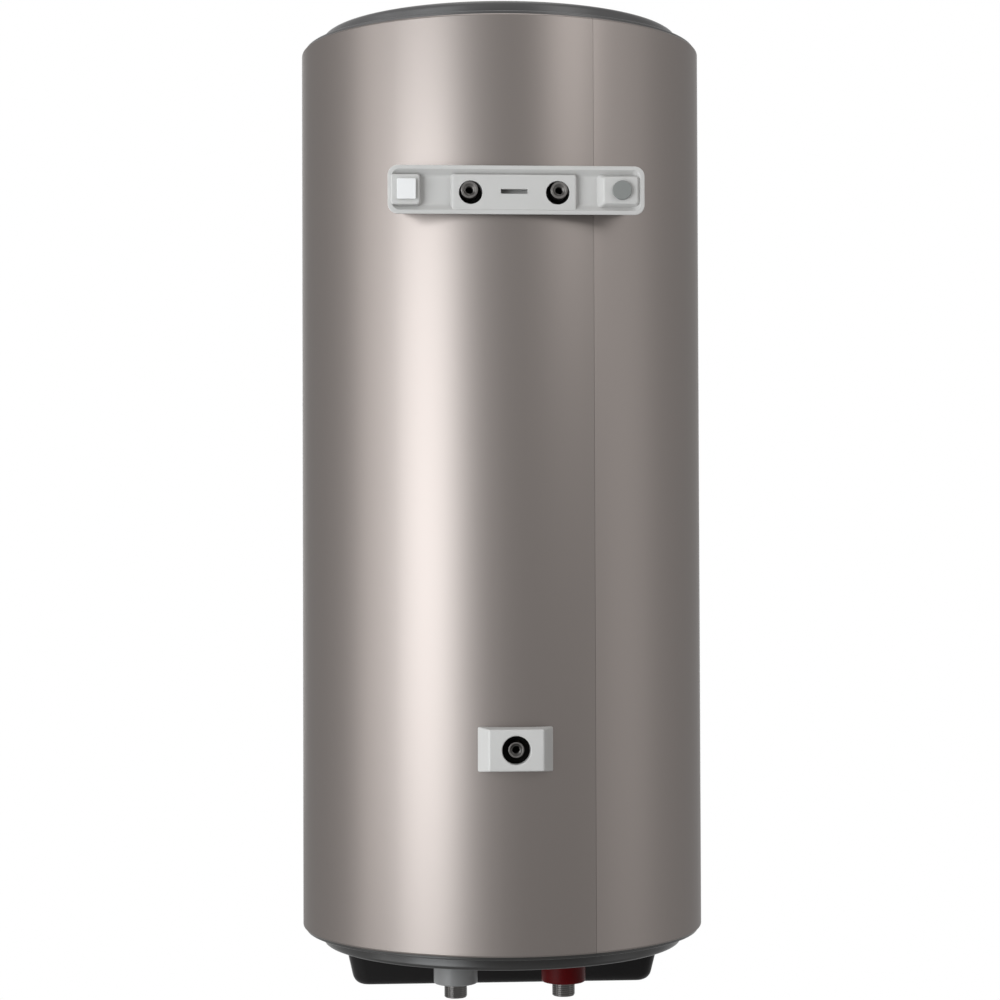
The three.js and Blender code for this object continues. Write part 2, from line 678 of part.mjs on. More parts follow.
const lampLens = () =>
  facingRoom(
    turned(
      [
        [0, FRONT - 8], [4.1, FRONT - 8], [4.1, FRONT + GAP], [5.4, FRONT + GAP],
        [5.4, FRONT + 1.6], [4, FRONT + 1.8], [2.4, FRONT + 3.1], [0, FRONT + 3.6],
      ],
      16,
    ),
  );

// ---------------------------------------------------------------- wiring

const BLOCK_PLACE = [92, -34];
const BLOCK_BOTTOM = LID_UNDERSIDE - 16;
const WIRE_ENTRY = BLOCK_BOTTOM - 1.2; // where a wire leaves the block's underside
const SWITCH_TAIL = CONTROL_HEIGHT - 0.25;

function terminalBlock() {
  const [low, high] = [BLOCK_BOTTOM, LID_UNDERSIDE - GAP];
  const body = box([-18, 18], [-9, 9], [low, high]);
  const ways = [-12, 0, 12].flatMap((x) => [
    disc(2.6, low - 1, low + 7, 12).translate(x, -4, 0),
    disc(2.6, low - 1, low + 7, 12).translate(x, 4.5, 0),
  ]);
  return cut(body, ...ways);
}

const WIRES = [
  {
    name: "live_wire",
    material: WIRE_BROWN,
    places: [
      [80, -38, WIRE_ENTRY], [78, -50, -721], [60, -80, -725], [30, -100, -721],
      [16, -113, SWITCH_TAIL - 0.6], [16, -116.6, SWITCH_TAIL],
    ],
  },
  {
    name: "neutral_wire",
    material: WIRE_BLUE,
    places: [
      [92, -38, WIRE_ENTRY], [90, -46, -721], [70, -54, -725], [45, -58, -717],
      [30, -57, -706], [27, -56, ELEMENT_FOOT - 0.6],
    ],
  },
  {
    name: "earth_wire",
    material: WIRE_GREEN,
    places: [
      [104, -29.5, WIRE_ENTRY], [100, -20, -721], [60, -8, -725], [10, -12, -723],
      [-20, -26, -712], [-30, -29, EARTH_FOOT - 0.6],
    ],
  },
];

const wire = (places) => bar(route(places, 12), 1.6, 2);

// The thin tube that links the thermostat to its bulb in the thermowell.
const CAPILLARY = [
  [-34, -108, CONTROL_HEIGHT], [-36, -100, -721], [-34, -84, -725], [-24, -70, -720],
  [-12, -60, -707], [-9, -58, -694], [-9, -58, -670], [-9, -58, -640],
];

// ---------------------------------------------------------------- thermometer on the front

const thermometerCase = () =>
  facingRoom(
    turned(
      [
        [0, CASING_RADIUS - 26], [20, CASING_RADIUS - 26], [20, CASING_RADIUS + 1],
        [18.4, CASING_RADIUS + 1], [18.4, CASING_RADIUS - 24.5], [0, CASING_RADIUS - 24.5],
      ],
      28,
    ),
  );

const thermometerDial = () => facingRoom(disc(18, CASING_RADIUS - 4, CASING_RADIUS - 3, 28));

function thermometerNeedle() {
  const outline = new THREE.Shape();
  outline.moveTo(-1, -4);
  outline.lineTo(1, -4);
  outline.lineTo(0.25, 14);
  outline.lineTo(-0.25, 14);
  outline.closePath();
  return facingRoom(join(prism(outline, -0.5, 0.3), disc(2.2, -1.4, 0.6, 12)));
}

const thermometerLens = () => facingRoom(disc(20, CASING_RADIUS + 1.3, CASING_RADIUS + 2.8, 28));

function thermometerBezel() {
  const [back, front] = [CASING_RADIUS - 3, CASING_RADIUS + 5];
  const ring = turned(
    [
      [20.4, back], [25, back], [25, front - 2.6], [23, front],
      [18.6, front], [18.6, front - 1.9], [20.4, front - 1.9], [20.4, back],
    ],
    28,
  );
  return cut(facingRoom(ring), disc(CASING_RADIUS + GAP, -40, 40, SHELL_SIDES));
}

// ---------------------------------------------------------------- the assembly

// Where the two pointers stand at rest, turned back from upright, in degrees.
const NEEDLE_REST = 120;
const KNOB_REST = 135;

function wallFixings() {
  const upper = together(
    [0, 0, 0],
    piece("hanger_channel", mountingChannel(52, 15.3), ZINC),
    piece("hanger_tray", hangerTray(), PALE_PLASTIC),
    piece("hanger_boss_1", threadedBoss(7.6, UPPER_BOSS_FACE), ZINC, [BOSS_SPACING / 2, 0, 0]),
    piece("hanger_boss_2", threadedBoss(7.6, UPPER_BOSS_FACE), ZINC, [-BOSS_SPACING / 2, 0, 0]),
    piece("square_wall_pad", box([-8.4, 8.4], [PAD_BASE, WALL], [-9.1, 9.1]), WHITE_PAD, [TOWER_X, 0, 0]),
    piece("round_wall_pad", towardsWall(disc(8.6, PAD_BASE, WALL, 28)), MID_GREY, [-TOWER_X, 0, 0]),
  );
  const lower = together(
    [0, 0, -LOWER_BOSS_DROP],
    piece("lower_channel", mountingChannel(26, 14), ZINC),
    piece("lower_boss", threadedBoss(7.15, LOWER_BOSS_FACE), ZINC),
    piece("lower_spacer", lowerSpacer(), PALE_PLASTIC),
  );
  return [upper, lower];
}

function plumbing() {
  const [coldPlace, hotPlace] = PIPE_PLACES;
  const cold = together(
    [...coldPlace, 0],
    piece("cold_inlet_pipe", pipe(DOME_LOW + 8), CHROME),
    piece("cold_ring", pipeRing(), RING_GREY),
    piece("inlet_diffuser", inletDiffuser(), WHITE_PAD),
  );
  const hot = together(
    [...hotPlace, 0],
    piece("hot_outlet_pipe", pipe(DOME_HIGH + 10), CHROME),
    piece("hot_ring", pipeRing(), RING_RED),
  );
  return [cold, hot];
}

function flangeGroup() {
  return together(
    [0, NECK_SETBACK, 0],
    piece("flange_plate", flangePlate(), ZINC),
    piece("flange_gasket", flangeGasket(), SEAL),
    ...BOLT_PLACES.map(([x, y], i) => piece(`flange_bolt_${i + 1}`, flangeBolt(), ZINC, [x, y, 0])),
    ...ELEMENTS.map(({ name, x, top }) => piece(name, heatingElement(top), COPPER, [x, 0, 0])),
    piece("anode_rod", anodeRod(), MAGNESIUM, [...ANODE_PLACE, 0]),
    piece("thermowell", thermowell(), COPPER, [...WELL_PLACE, 0]),
    piece("thermal_cutout", thermalCutout(), BLACK_PLASTIC, [...CUTOUT_PLACE, 0]),
    piece("reset_button", resetButton(), SWITCH_RED, [...CUTOUT_PLACE, 0]),
    piece("earth_stud", earthStud(), ZINC, [...EARTH_PLACE, 0]),
  );
}

function controls() {
  const knob = piece("thermostat_knob", thermostatKnob(), MID_GREY);
  knob.rotation.y = degrees(-KNOB_REST);
  const thermostat = together(
    [KNOB_X, 0, CONTROL_HEIGHT],
    piece("thermostat_body", thermostatBody(), WHITE_PAD),
    piece("thermostat_shaft", thermostatShaft(), ZINC),
    knob,
    piece("dial_ring", dialRing(), PALE_PLASTIC),
  );
  const switches = SWITCHES.map(({ name, x }) =>
    together(
      [x, 0, CONTROL_HEIGHT],
      piece(`${name}_switch_housing`, switchHousing(), BLACK_PLASTIC),
      piece(`${name}_switch_rocker`, switchRocker(), SWITCH_RED, [0, 1 - FRONT, 0]),
    ),
  );
  return [thermostat, ...switches, piece("indicator_lamp", lampLens(), LAMP, [LAMP_X, 0, CONTROL_HEIGHT])];
}

function serviceBay() {
  return together(
    [0, 0, 0],
    piece("service_cover", serviceCover(), BLACK_PLASTIC),
    ...SCREW_PLACES.map(([x, y], i) => piece(`cover_screw_${i + 1}`, coverScrew(), ZINC, [x, y, 0])),
    piece("cable_gland", cableGland(), BLACK_PLASTIC, [...GLAND_PLACE, 0]),
    piece("terminal_block", terminalBlock(), WHITE_PAD, [...BLOCK_PLACE, 0]),
    ...WIRES.map(({ name, material, places }) => piece(name, wire(places), material)),
    piece("thermostat_capillary", bar(route(CAPILLARY, 20), 1, 2), COPPER),
    ...controls(),
  );
}

function thermometer() {
  const needle = piece("thermometer_needle", thermometerNeedle(), BLACK_PLASTIC, [0, 1.2 - CASING_RADIUS, 0]);
  needle.rotation.y = degrees(-NEEDLE_REST);
  return together(
    [0, 0, -THERMOMETER_DROP],
    piece("thermometer_case", thermometerCase(), BLACK_PLASTIC),
    piece("thermometer_dial", thermometerDial(), DIAL_WHITE),
    needle,
    piece("thermometer_lens", thermometerLens(), GLASS),
    piece("thermometer_bezel", thermometerBezel(), CHROME),
  );
}

const heater = together(
  [0, -WALL, 0],
  piece("outer_casing", outerCasing(), CHAMPAGNE),
  piece("top_lid", topLid(), LID_GREY),
  piece("bottom_lid", bottomLid(), LID_GREY),
  piece("inner_tank", innerTank(), ENAMEL),
  piece("foam_insulation", foamInsulation(), FOAM),
  ...wallFixings(),
  ...plumbing(),
  flangeGroup(),
  serviceBay(),
  thermometer(),
);

export default heater;
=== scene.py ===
from math import atan2, cos, pi, radians, sin, tau

import bmesh
import bpy
from mathutils import Matrix, Vector


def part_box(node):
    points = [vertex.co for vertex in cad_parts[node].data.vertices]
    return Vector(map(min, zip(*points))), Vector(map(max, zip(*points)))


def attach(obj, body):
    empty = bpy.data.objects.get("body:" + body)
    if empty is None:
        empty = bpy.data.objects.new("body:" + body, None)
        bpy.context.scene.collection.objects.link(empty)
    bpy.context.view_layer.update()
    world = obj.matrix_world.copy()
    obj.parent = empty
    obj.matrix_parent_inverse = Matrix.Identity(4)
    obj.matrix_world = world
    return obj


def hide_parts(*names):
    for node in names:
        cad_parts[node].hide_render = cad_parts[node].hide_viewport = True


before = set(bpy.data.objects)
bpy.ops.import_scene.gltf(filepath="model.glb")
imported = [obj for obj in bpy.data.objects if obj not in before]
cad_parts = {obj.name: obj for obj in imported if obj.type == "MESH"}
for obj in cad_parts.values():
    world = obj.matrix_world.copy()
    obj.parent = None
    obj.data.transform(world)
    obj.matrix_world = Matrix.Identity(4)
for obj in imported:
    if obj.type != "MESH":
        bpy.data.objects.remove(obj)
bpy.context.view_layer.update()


# ---- the studio ----
# Six soft boxes stand round the heater in a white room; left and right are as the camera sees them.
# The heater hangs on its wall fixings, so the pale floor lies well below it.

casing_low, casing_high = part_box("outer_casing")
axis = Vector((0, (casing_low.y + casing_high.y) / 2, 0))


class Strand:
    """One socket inside a material. Sums and products of strands add Math nodes."""

    def __init__(self, tree, socket=None):
        self.tree = tree
        self.socket = socket

    def node(self, kind, settings, sockets, out=0):
        """Adds a node: its settings are made first, then the values or links of its sockets."""
        made = self.tree.nodes.new(kind)
        for name, value in settings.items():
            setattr(made, name, value)
        for key, value in sockets.items():
            if isinstance(value, Strand):
                self.tree.links.new(value.socket, made.inputs[key])
            else:
                made.inputs[key].default_value = value
        return Strand(self.tree, made.outputs[out] if made.outputs else None)

    def outputs(self, *names):
        """The named outputs of the node that this strand comes from."""
        return [Strand(self.tree, self.socket.node.outputs[name]) for name in names]

    def maths(self, operation, first, second=0.0):
        return self.node("ShaderNodeMath", {"operation": operation}, {0: first, 1: second})

    def __add__(self, other):
        return self.maths("ADD", self, other)

    __radd__ = __add__

    def __mul__(self, other):
        return self.maths("MULTIPLY", self, other)

    __rmul__ = __mul__

    def blend(self, first, second):
        """Mixes two colours by this strand: a Mix node has them on sockets 6 and 7, and its result on 2."""
        return self.node("ShaderNodeMix", {"data_type": "RGBA"}, {0: self, 6: first, 7: second}, out=2)


def looked_at(strand):
    """1 on rays from the camera, a gloss or glass, which show the white room; 0 on rays that gather light."""
    rays = strand.node("ShaderNodeLightPath", {}, {})
    camera_ray, glossy_ray, glass_ray = rays.outputs("Is Camera Ray", "Is Glossy Ray", "Is Transmission Ray")
    return strand.maths("MAXIMUM", camera_ray, strand.maths("MAXIMUM", glossy_ray, glass_ray))


# The room gives little light of its own, and is plain white where it is looked at.
WORLD_LEVEL = 0.16
world = bpy.data.worlds.new("studio")
bpy.context.scene.world = world
world.use_nodes = True
world.node_tree.nodes.clear()
room = Strand(world.node_tree)
strength = looked_at(room) * (1 - WORLD_LEVEL) + WORLD_LEVEL
backdrop = room.node("ShaderNodeBackground", {}, {"Color": (1, 1, 1, 1), "Strength": strength})
room.node("ShaderNodeOutputWorld", {}, {"Surface": backdrop})

# The floor is pale paper with the heater's shadow on it, and fades to white further out.
FLOOR_HEIGHT = -1.45
FLOOR_RADIUS = 9
FADE_FROM, FADE_TO = 1.0, 2.6
WHITE_NEAR = 0.5
floor_mesh = bpy.data.meshes.new("studio_floor")
ground = bmesh.new()
bmesh.ops.create_circle(
    ground, cap_ends=True, radius=FLOOR_RADIUS, segments=96, matrix=Matrix.Translation((0, 0, FLOOR_HEIGHT)),
)
ground.to_mesh(floor_mesh)
ground.free()
floor = bpy.data.objects.new("studio_floor", floor_mesh)
bpy.context.scene.collection.objects.link(floor)
paper = bpy.data.materials.new("pale_floor")
paper.use_nodes = True
paper.node_tree.nodes.clear()
sheet = Strand(paper.node_tree)
spot = sheet.node("ShaderNodeTexCoord", {}, {}, out="Object")
level_spot = sheet.node("ShaderNodeVectorMath", {"operation": "MULTIPLY"}, {0: spot, 1: (1, 1, 0)})
reach = sheet.node("ShaderNodeVectorMath", {"operation": "LENGTH"}, {0: level_spot}, out="Value")
fade = sheet.node(
    "ShaderNodeMapRange", {"interpolation_type": "SMOOTHSTEP"},
    {"Value": reach, "From Min": FADE_FROM, "From Max": FADE_TO, "To Min": WHITE_NEAR, "To Max": 1.0},
)
matt = sheet.node("ShaderNodeBsdfDiffuse", {}, {"Color": (0.8, 0.8, 0.8, 1)})
bright = sheet.node("ShaderNodeEmission", {}, {"Color": (1, 1, 1, 1), "Strength": 1.0})
shown = sheet.node("ShaderNodeMixShader", {}, {0: looked_at(sheet) * fade, 1: matt, 2: bright})
sheet.node("ShaderNodeOutputMaterial", {}, {"Surface": shown})
floor_mesh.materials.append(paper)


def soft_light(name, bearing, height, wide, tall, level, distance=2.4, drop=0.0, colour=(1, 1, 1)):
    """A soft box aimed at the tank's axis, drop below its own height; its bearing turns from +Y to +X."""
    lamp = bpy.data.lights.new(name, "AREA")
    lamp.color = colour
    lamp.shape = "RECTANGLE"
    lamp.size, lamp.size_y = wide, tall
    lamp.energy = level * pi * wide * tall
    light = bpy.data.objects.new(name, lamp)
    bpy.context.scene.collection.objects.link(light)
    turn = radians(bearing)
    light.location = axis + Vector((sin(turn) * distance, cos(turn) * distance, height))
    aim = axis + Vector((0, 0, height - drop)) - light.location
    light.rotation_euler = aim.to_track_quat("-Z", "Y").to_euler()


# The tall left box gives the long highlight, and is a little cooler than the rest.
FAINTLY_COOL = (0.97, 1.0, 1.022)
soft_light("left_softbox", bearing=44, height=-0.24, wide=1.37, tall=1.8, level=7.9, colour=FAINTLY_COOL)
soft_light("left_fill", bearing=77, height=0.0, wide=0.8, tall=2.4, level=2.5)
soft_light("right_softbox", bearing=-36, height=0.88, wide=1.1, tall=1.03, level=4.9)
soft_light("right_fill", bearing=-70, height=0.0, wide=1.2, tall=2.4, level=0.7)
soft_light("top_softbox", bearing=0, height=2.2, wide=2.0, tall=2.0, level=2.4, distance=0.3, drop=2.4)
soft_light("front_softbox", bearing=180, height=0.1, wide=2.4, tall=2.0, level=1.3, distance=3.0)

# The camera stands on the wall side, a little to the left of the heater's middle, and looks slightly up.
CAMERA_BEARING = radians(3.7)
CAMERA_DISTANCE = 2.199
CAMERA_HEIGHT = -0.311
CAMERA_ROLL = radians(-0.19)
LOOK_ASIDE, LOOK_UP = 0.0004, 0.0177
LENS = 81.2
camera_data = bpy.data.cameras.new("camera")
camera_data.sensor_width = 36
camera_data.lens = LENS
camera_data.clip_start, camera_data.clip_end = 0.05, 60
camera = bpy.data.objects.new("camera", camera_data)
bpy.context.scene.collection.objects.link(camera)
aside, away = sin(CAMERA_BEARING), cos(CAMERA_BEARING)
camera.location = axis + Vector((aside * CAMERA_DISTANCE, away * CAMERA_DISTANCE, CAMERA_HEIGHT))
looking = Vector((LOOK_ASIDE - aside, -away, LOOK_UP)).to_track_quat("-Z", "Y")
camera.rotation_mode = "QUATERNION"
camera.rotation_quaternion = looking @ Matrix.Rotation(CAMERA_ROLL, 4, "Z").to_quaternion()
bpy.context.scene.camera = camera
bpy.context.scene.view_settings.view_transform = "Standard"


# ---- inner tank ----
# The pressure vessel: two pressed domes welded to a rolled shell, blue glass enamel baked on.
# It stands inside the foam, and the flanged neck below takes the elements.

def srgb(red, green, blue):
    """A colour given as 0 to 255 screen values."""
    levels = [value / 255 for value in (red, green, blue)]
    return tuple(v / 12.92 if v <= 0.04045 else ((v + 0.055) / 1.055) ** 2.4 for v in levels) + (1.0,)


class Finish:
    """A material. What is the same all over goes straight onto the shader's sockets."""

    def __init__(self, name, colour, roughness, **same_all_over):
        self.material = bpy.data.materials.new(name)
        self.material.use_nodes = True
        self.tree = self.material.node_tree
        self.shader = self.tree.nodes["Principled BSDF"]
        self.shader.inputs["Base Color"].default_value = colour
        self.shader.inputs["Roughness"].default_value = roughness
        for socket, value in same_all_over.items():
            self.shader.inputs[socket.replace("_", " ").title().replace("Ior", "IOR")].default_value = value
        self.colour, self.roughness = colour, roughness
        self.start = Strand(self.tree)
        self.place = self.start.node("ShaderNodeTexCoord", {}, {}, out="Object")

    def feed(self, socket, strand):
        self.tree.links.new(strand.socket, self.shader.inputs[socket])

    def noise(self, scale, detail=3.0, stretch=(1, 1, 1)):
        """Noise over the piece, from 0 to 1; scale counts features to the metre."""
        stretched = self.start.node("ShaderNodeMapping", {}, {"Vector": self.place, "Scale": stretch})
        sockets = {"Vector": stretched, "Scale": scale, "Detail": detail}
        return self.start.node("ShaderNodeTexNoise", {}, sockets)

    def mottle(self, strand, other):
        """The base colour drifts towards another colour where the strand is high."""
        self.feed("Base Color", strand.blend(self.colour, other))

    def vary_roughness(self, strand, spread):
        self.feed("Roughness", strand * (2 * spread) + (self.roughness - spread))

    def bump(self, strand, depth):
        """Raises the surface by up to depth, in metres."""
        self.feed("Normal", self.start.node("ShaderNodeBump", {}, {"Height": strand, "Distance": depth}))


def moulded(name, colour, shade, roughness, grain=900.0, depth=0.00003, **more):
    """A plastic moulding: faint flow marks in its colour, a fine spark-eroded grain, and rubbed patches."""
    made = Finish(name, colour, roughness, **more)
    made.mottle(made.noise(9.0, stretch=(1, 1, 2.5)), shade)
    made.vary_roughness(made.noise(45.0), 0.035)
    made.bump(made.noise(grain, detail=2.0), depth)
    return made.material


def metal(name, colour, shade, roughness, scale, stretch=(1, 1, 1), depth=0.00002):
    """Bare metal with a drawn or cast texture."""
    made = Finish(name, colour, roughness, metallic=1.0)
    streaks = made.noise(scale, 4.0, stretch)
    made.mottle(streaks, shade)
    made.vary_roughness(made.noise(scale * 0.4, stretch=stretch), 0.08)
    made.bump(streaks, depth)
    return made.material


def dress(node, material):
    """A CAD node keeps its shape and takes a finish."""
    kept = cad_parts[node]
    kept.data.materials.clear()
    kept.data.materials.append(material)


enamel = Finish("blue_enamel", srgb(45, 68, 102), 0.3, metallic=0.15, coat_weight=0.4)
enamel.mottle(enamel.noise(14.0), srgb(33, 52, 84))
enamel.vary_roughness(enamel.noise(30.0), 0.08)
orange_peel = enamel.noise(160.0)
enamel.bump(orange_peel, 0.0002)
dress("inner_tank", enamel.material)


# ---- foam ----
# Rigid polyurethane, cream, foamed in place between the tank and the casing.
# Its cells are open where it was trimmed round the neck and the pipes.

foam = Finish("cream_foam", srgb(230, 217, 174), 0.9)
foam.mottle(foam.noise(20.0), srgb(206, 186, 130))
cells = foam.start.node("ShaderNodeTexVoronoi", {}, {"Vector": foam.place, "Scale": 380.0})
foam.bump(cells, 0.0009)
dress("foam_insulation", foam.material)


# ---- mounting channels ----
# Two pressed steel channels in dark primer, welded to the tank and set in the foam. The primer's colour is
# also painted darker, as shade for what shows of them through the holes in the tray and the spacer.
# They carry the threaded bosses, and so the weight of the full heater.

# Dark primer, with painted shade: its colour is made darker so that the holes in front of it look shaded.
channel_shade_paint = moulded("channel_primer_painted_shade", srgb(56, 54, 52), srgb(46, 45, 44), 0.75, specular_ior_level=0.1)
for channel in ("hanger_channel", "lower_channel"):
    dress(channel, channel_shade_paint)


# ---- threaded bosses ----
# Turned steel sleeves, two above and one below, tapped for the studs of the wall bracket.
# Each is welded to its channel, and its chamfered mouth faces the wall.

# Shapes are built along Z, then turned to face the wall, which is at +Y, or the room.
TO_WALL = Matrix.Rotation(-pi / 2, 4, "X")
TO_ROOM = Matrix.Rotation(pi / 2, 4, "X")
UP = Matrix.Identity(4)
CREASE = radians(32)
BOSS_BORE, BOSS_MOUTH = 0.00425, 0.0015
BOSS_PITCH, BOSS_TOOTH = 0.0015, 0.0008


def turned(profile, steps=96, corners=4, sweep=tau, start=0.0):
    """A shape turned about Z from (radius, height) points; a third number rounds that corner."""
    shape = bmesh.new()
    points = [shape.verts.new((point[0], 0, point[1])) for point in profile]
    pairs = list(zip(points, points[1:]))
    if profile[0][0] > 0 or profile[-1][0] > 0:
        pairs.append((points[-1], points[0]))
    for pair in pairs:
        shape.edges.new(pair)
    roundings = sorted({point[2] for point in profile if len(point) > 2})
    marked = [[vert for vert, point in zip(points, profile) if point[2:] == (size,)] for size in roundings]
    for size, verts in zip(roundings, marked):
        bmesh.ops.bevel(
            shape, geom=verts, affect="VERTICES", offset=size, offset_type="OFFSET",
            segments=corners, profile=0.5, material=-1,
        )
    bmesh.ops.rotate(shape, verts=shape.verts, cent=(0, 0, 0), matrix=Matrix.Rotation(start, 3, "Z"))
    whole = abs(sweep - tau) < 1e-9
    bmesh.ops.spin(
        shape, geom=shape.verts[:] + shape.edges[:], cent=(0, 0, 0), axis=(0, 0, 1),
        angle=sweep, steps=steps, use_merge=whole,
    )
    bmesh.ops.remove_doubles(shape, verts=shape.verts, dist=1e-7)
    if not whole:
        bmesh.ops.holes_fill(shape, edges=[e for e in shape.edges if e.is_boundary], sides=0)
    bmesh.ops.recalc_face_normals(shape, faces=shape.faces)
    return shape


def stand(shape, place, facing=UP):
    """Turns a shape built along Z the way it faces, and carries it to its place."""
    bmesh.ops.transform(shape, verts=shape.verts, matrix=Matrix.Translation(place) @ facing)
    return shape


def thread(radius, pitch, depth, length, inwards=False, steps=20, flat=0.16):
    """A screw thread: one tooth carried round and along, closed at both ends. Flat is its crest's share."""
    shape = bmesh.new()
    root, crest = (radius, radius - depth) if inwards else (radius - depth, radius)
    rise, fall = pitch * (0.5 - flat / 2), pitch * (0.5 + flat / 2)
    corners = ((root, 0, 0), (crest, 0, rise), (crest, 0, fall), (root, 0, pitch * 0.98))
    tooth = [shape.verts.new(corner) for corner in corners]
    loop = [shape.edges.new(pair) for pair in zip(tooth, tooth[1:] + tooth[:1])]
    turns = length / pitch - 1
    count = int(turns * steps)
    shape.faces.new(tooth)
    bmesh.ops.spin(
        shape, geom=tooth + loop, cent=(0, 0, 0), axis=(0, 0, 1),
        dvec=(0, 0, turns * pitch / count), angle=turns * tau, steps=count,
    )
    bmesh.ops.holes_fill(shape, edges=[e for e in shape.edges if e.is_boundary], sides=0)
    bmesh.ops.recalc_face_normals(shape, faces=shape.faces)
    return shape


def gather(*shapes):
    """Puts closed shapes together as one piece's mesh."""
    whole = bmesh.new()
    for shape in shapes:
        carrier = bpy.data.meshes.new("carrier")
        shape.to_mesh(carrier)
        shape.free()
        whole.from_mesh(carrier)
        bpy.data.meshes.remove(carrier)
    return whole


def finished(name, shape, material, slot, *stands_for, body="heater"):
    """Makes the piece: smooth faces with creases kept, riding on its body in place of the CAD nodes."""
    mesh = bpy.data.meshes.new(name)
    shape.to_mesh(mesh)
    shape.free()
    mesh.shade_smooth()
    mesh.set_sharp_from_angle(angle=CREASE)
    mesh.materials.append(material)
    piece = bpy.data.objects.new(name, mesh)
    bpy.context.scene.collection.objects.link(piece)
    weighted = piece.modifiers.new("weighted", "WEIGHTED_NORMAL")
    weighted.mode, weighted.keep_sharp = "FACE_AREA_WITH_ANGLE", True
    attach(piece, body)
    if stands_for:
        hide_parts(*stands_for)


def middle(node):
    """The middle of a CAD node's box."""
    low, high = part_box(node)
    return (low + high) / 2


def sleeve(node):
    """A threaded boss that faces the wall, its mouth and its rim chamfered."""
    low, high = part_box(node)
    centre = middle(node)
    radius = (high.x - low.x) / 2
    length = high.y - low.y
    body = turned([
        (BOSS_BORE, 0), (radius, 0), (radius, length, 0.0006), (BOSS_BORE + BOSS_MOUTH, length, 0.0002),
        (BOSS_BORE, length - BOSS_MOUTH),
    ], steps=64)
    inside = thread(BOSS_BORE + 0.0002, BOSS_PITCH, BOSS_TOOTH, length - 0.001, inwards=True)
    return stand(gather(body, stand(inside, (0, 0, 0.0004))), (centre.x, low.y, centre.z), TO_WALL)


boss_steel = metal("boss_steel", srgb(104, 102, 100), srgb(80, 78, 76), 0.38, 260.0, (1, 0.2, 1))
for boss in ("hanger_boss_1", "hanger_boss_2", "lower_boss"):
    finished(boss + "_turned", sleeve(boss), boss_steel, "zinc", boss)


# ---- casing ----
# One champagne sheet rolled round the foam, its two upright edges meeting in a narrow seam over a strip.
# Its top and bottom edges are turned in for the lids, and it is cut out for the tray, a boss and the gauge.

casing_radius = (casing_high.x - casing_low.x) / 2
SHEET = 0.0008
TURNED_IN = casing_radius - 0.005
OUTER_BEND, INNER_BEND = 0.0022, 0.0015
SEAM_BEARING = radians(112.3)
SEAM_GAP = 0.00024
LAP_SPREAD = 0.06
LAP_SHORT = 0.003
BOSS_WAY, GAUGE_WAY = 0.0135, 0.0206
TRAY_RIM_Y, TRAY_BACK_Y = -0.004, -0.062
TRAY_DRAFT = 0.018


def carve(shape, *tools, operation="DIFFERENCE"):
    """Cuts closed shapes that don't touch each other out of a closed shape, or joins them to it."""
    pair = []
    for part in (shape, gather(*tools)):
        mesh = bpy.data.meshes.new("carving")
        part.to_mesh(mesh)
        part.free()
        pair.append(bpy.data.objects.new("carving", mesh))
        bpy.context.scene.collection.objects.link(pair[-1])
    cut = pair[0].modifiers.new("cut", "BOOLEAN")
    cut.operation, cut.solver, cut.object = operation, "EXACT", pair[1]
    result = bmesh.new()
    result.from_object(pair[0], bpy.context.evaluated_depsgraph_get())
    for part in pair:
        mesh = part.data
        bpy.data.objects.remove(part)
        bpy.data.meshes.remove(mesh)
    bmesh.ops.triangulate(result, faces=[face for face in result.faces if len(face.verts) > 4])
    bmesh.ops.dissolve_degenerate(result, edges=result.edges, dist=1e-7)
    return result


def plug(radius, low, high, steps):
    """A plain round body along Z, which cuts a hole or stands as a post."""
    return turned([(0, low), (radius, low), (radius, high), (0, high)], steps=steps)


def tapered(front, back, corner, soft=0.0, centre=(0.0, 0.0), corners=5, back_soft=0.0):
    """A block that faces the wall, from the (width, height, y) of its front and of its back.

    Its four long edges are rounded by corner, and the edges round its front and back by soft and back_soft.
    """
    shape = bmesh.new()
    bmesh.ops.create_cube(shape, size=1)
    for vert in shape.verts:
        width, height, y = front if vert.co.y > 0 else back
        vert.co = Vector((vert.co.x * width, y, vert.co.z * height))
    long_edges = [e for e in shape.edges if abs(e.verts[0].co.y - e.verts[1].co.y) > 1e-6]
    bmesh.ops.bevel(
        shape, geom=long_edges, affect="EDGES", offset=corner, segments=corners, profile=0.5, material=-1,
    )
    for y, size in ((front[2], soft), (back[2], back_soft)):
        if size:
            rim = [e for e in shape.edges if all(abs(v.co.y - y) < 1e-7 for v in e.verts)]
            bmesh.ops.bevel(
                shape, geom=rim, affect="EDGES", offset=size, segments=3, profile=0.5, material=-1,
            )
    bmesh.ops.recalc_face_normals(shape, faces=shape.faces)
    bmesh.ops.translate(shape, verts=shape.verts, vec=(centre[0], 0, centre[1]))
    return shape


tray_low, tray_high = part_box("hanger_tray")
tray_middle, tray_size = (tray_low + tray_high) / 2, tray_high - tray_low


def tray_outline(smaller, corner, soft=0.0):
    """The tray's drafted outline, from its rim to the ends of its walls inside the casing."""
    return tapered(
        (tray_size.x - smaller, tray_size.z - smaller, TRAY_RIM_Y),
        (tray_size.x - TRAY_DRAFT, tray_size.z - TRAY_DRAFT, TRAY_BACK_Y),
        corner, soft=soft, centre=(tray_middle.x, 0), corners=8,
    )


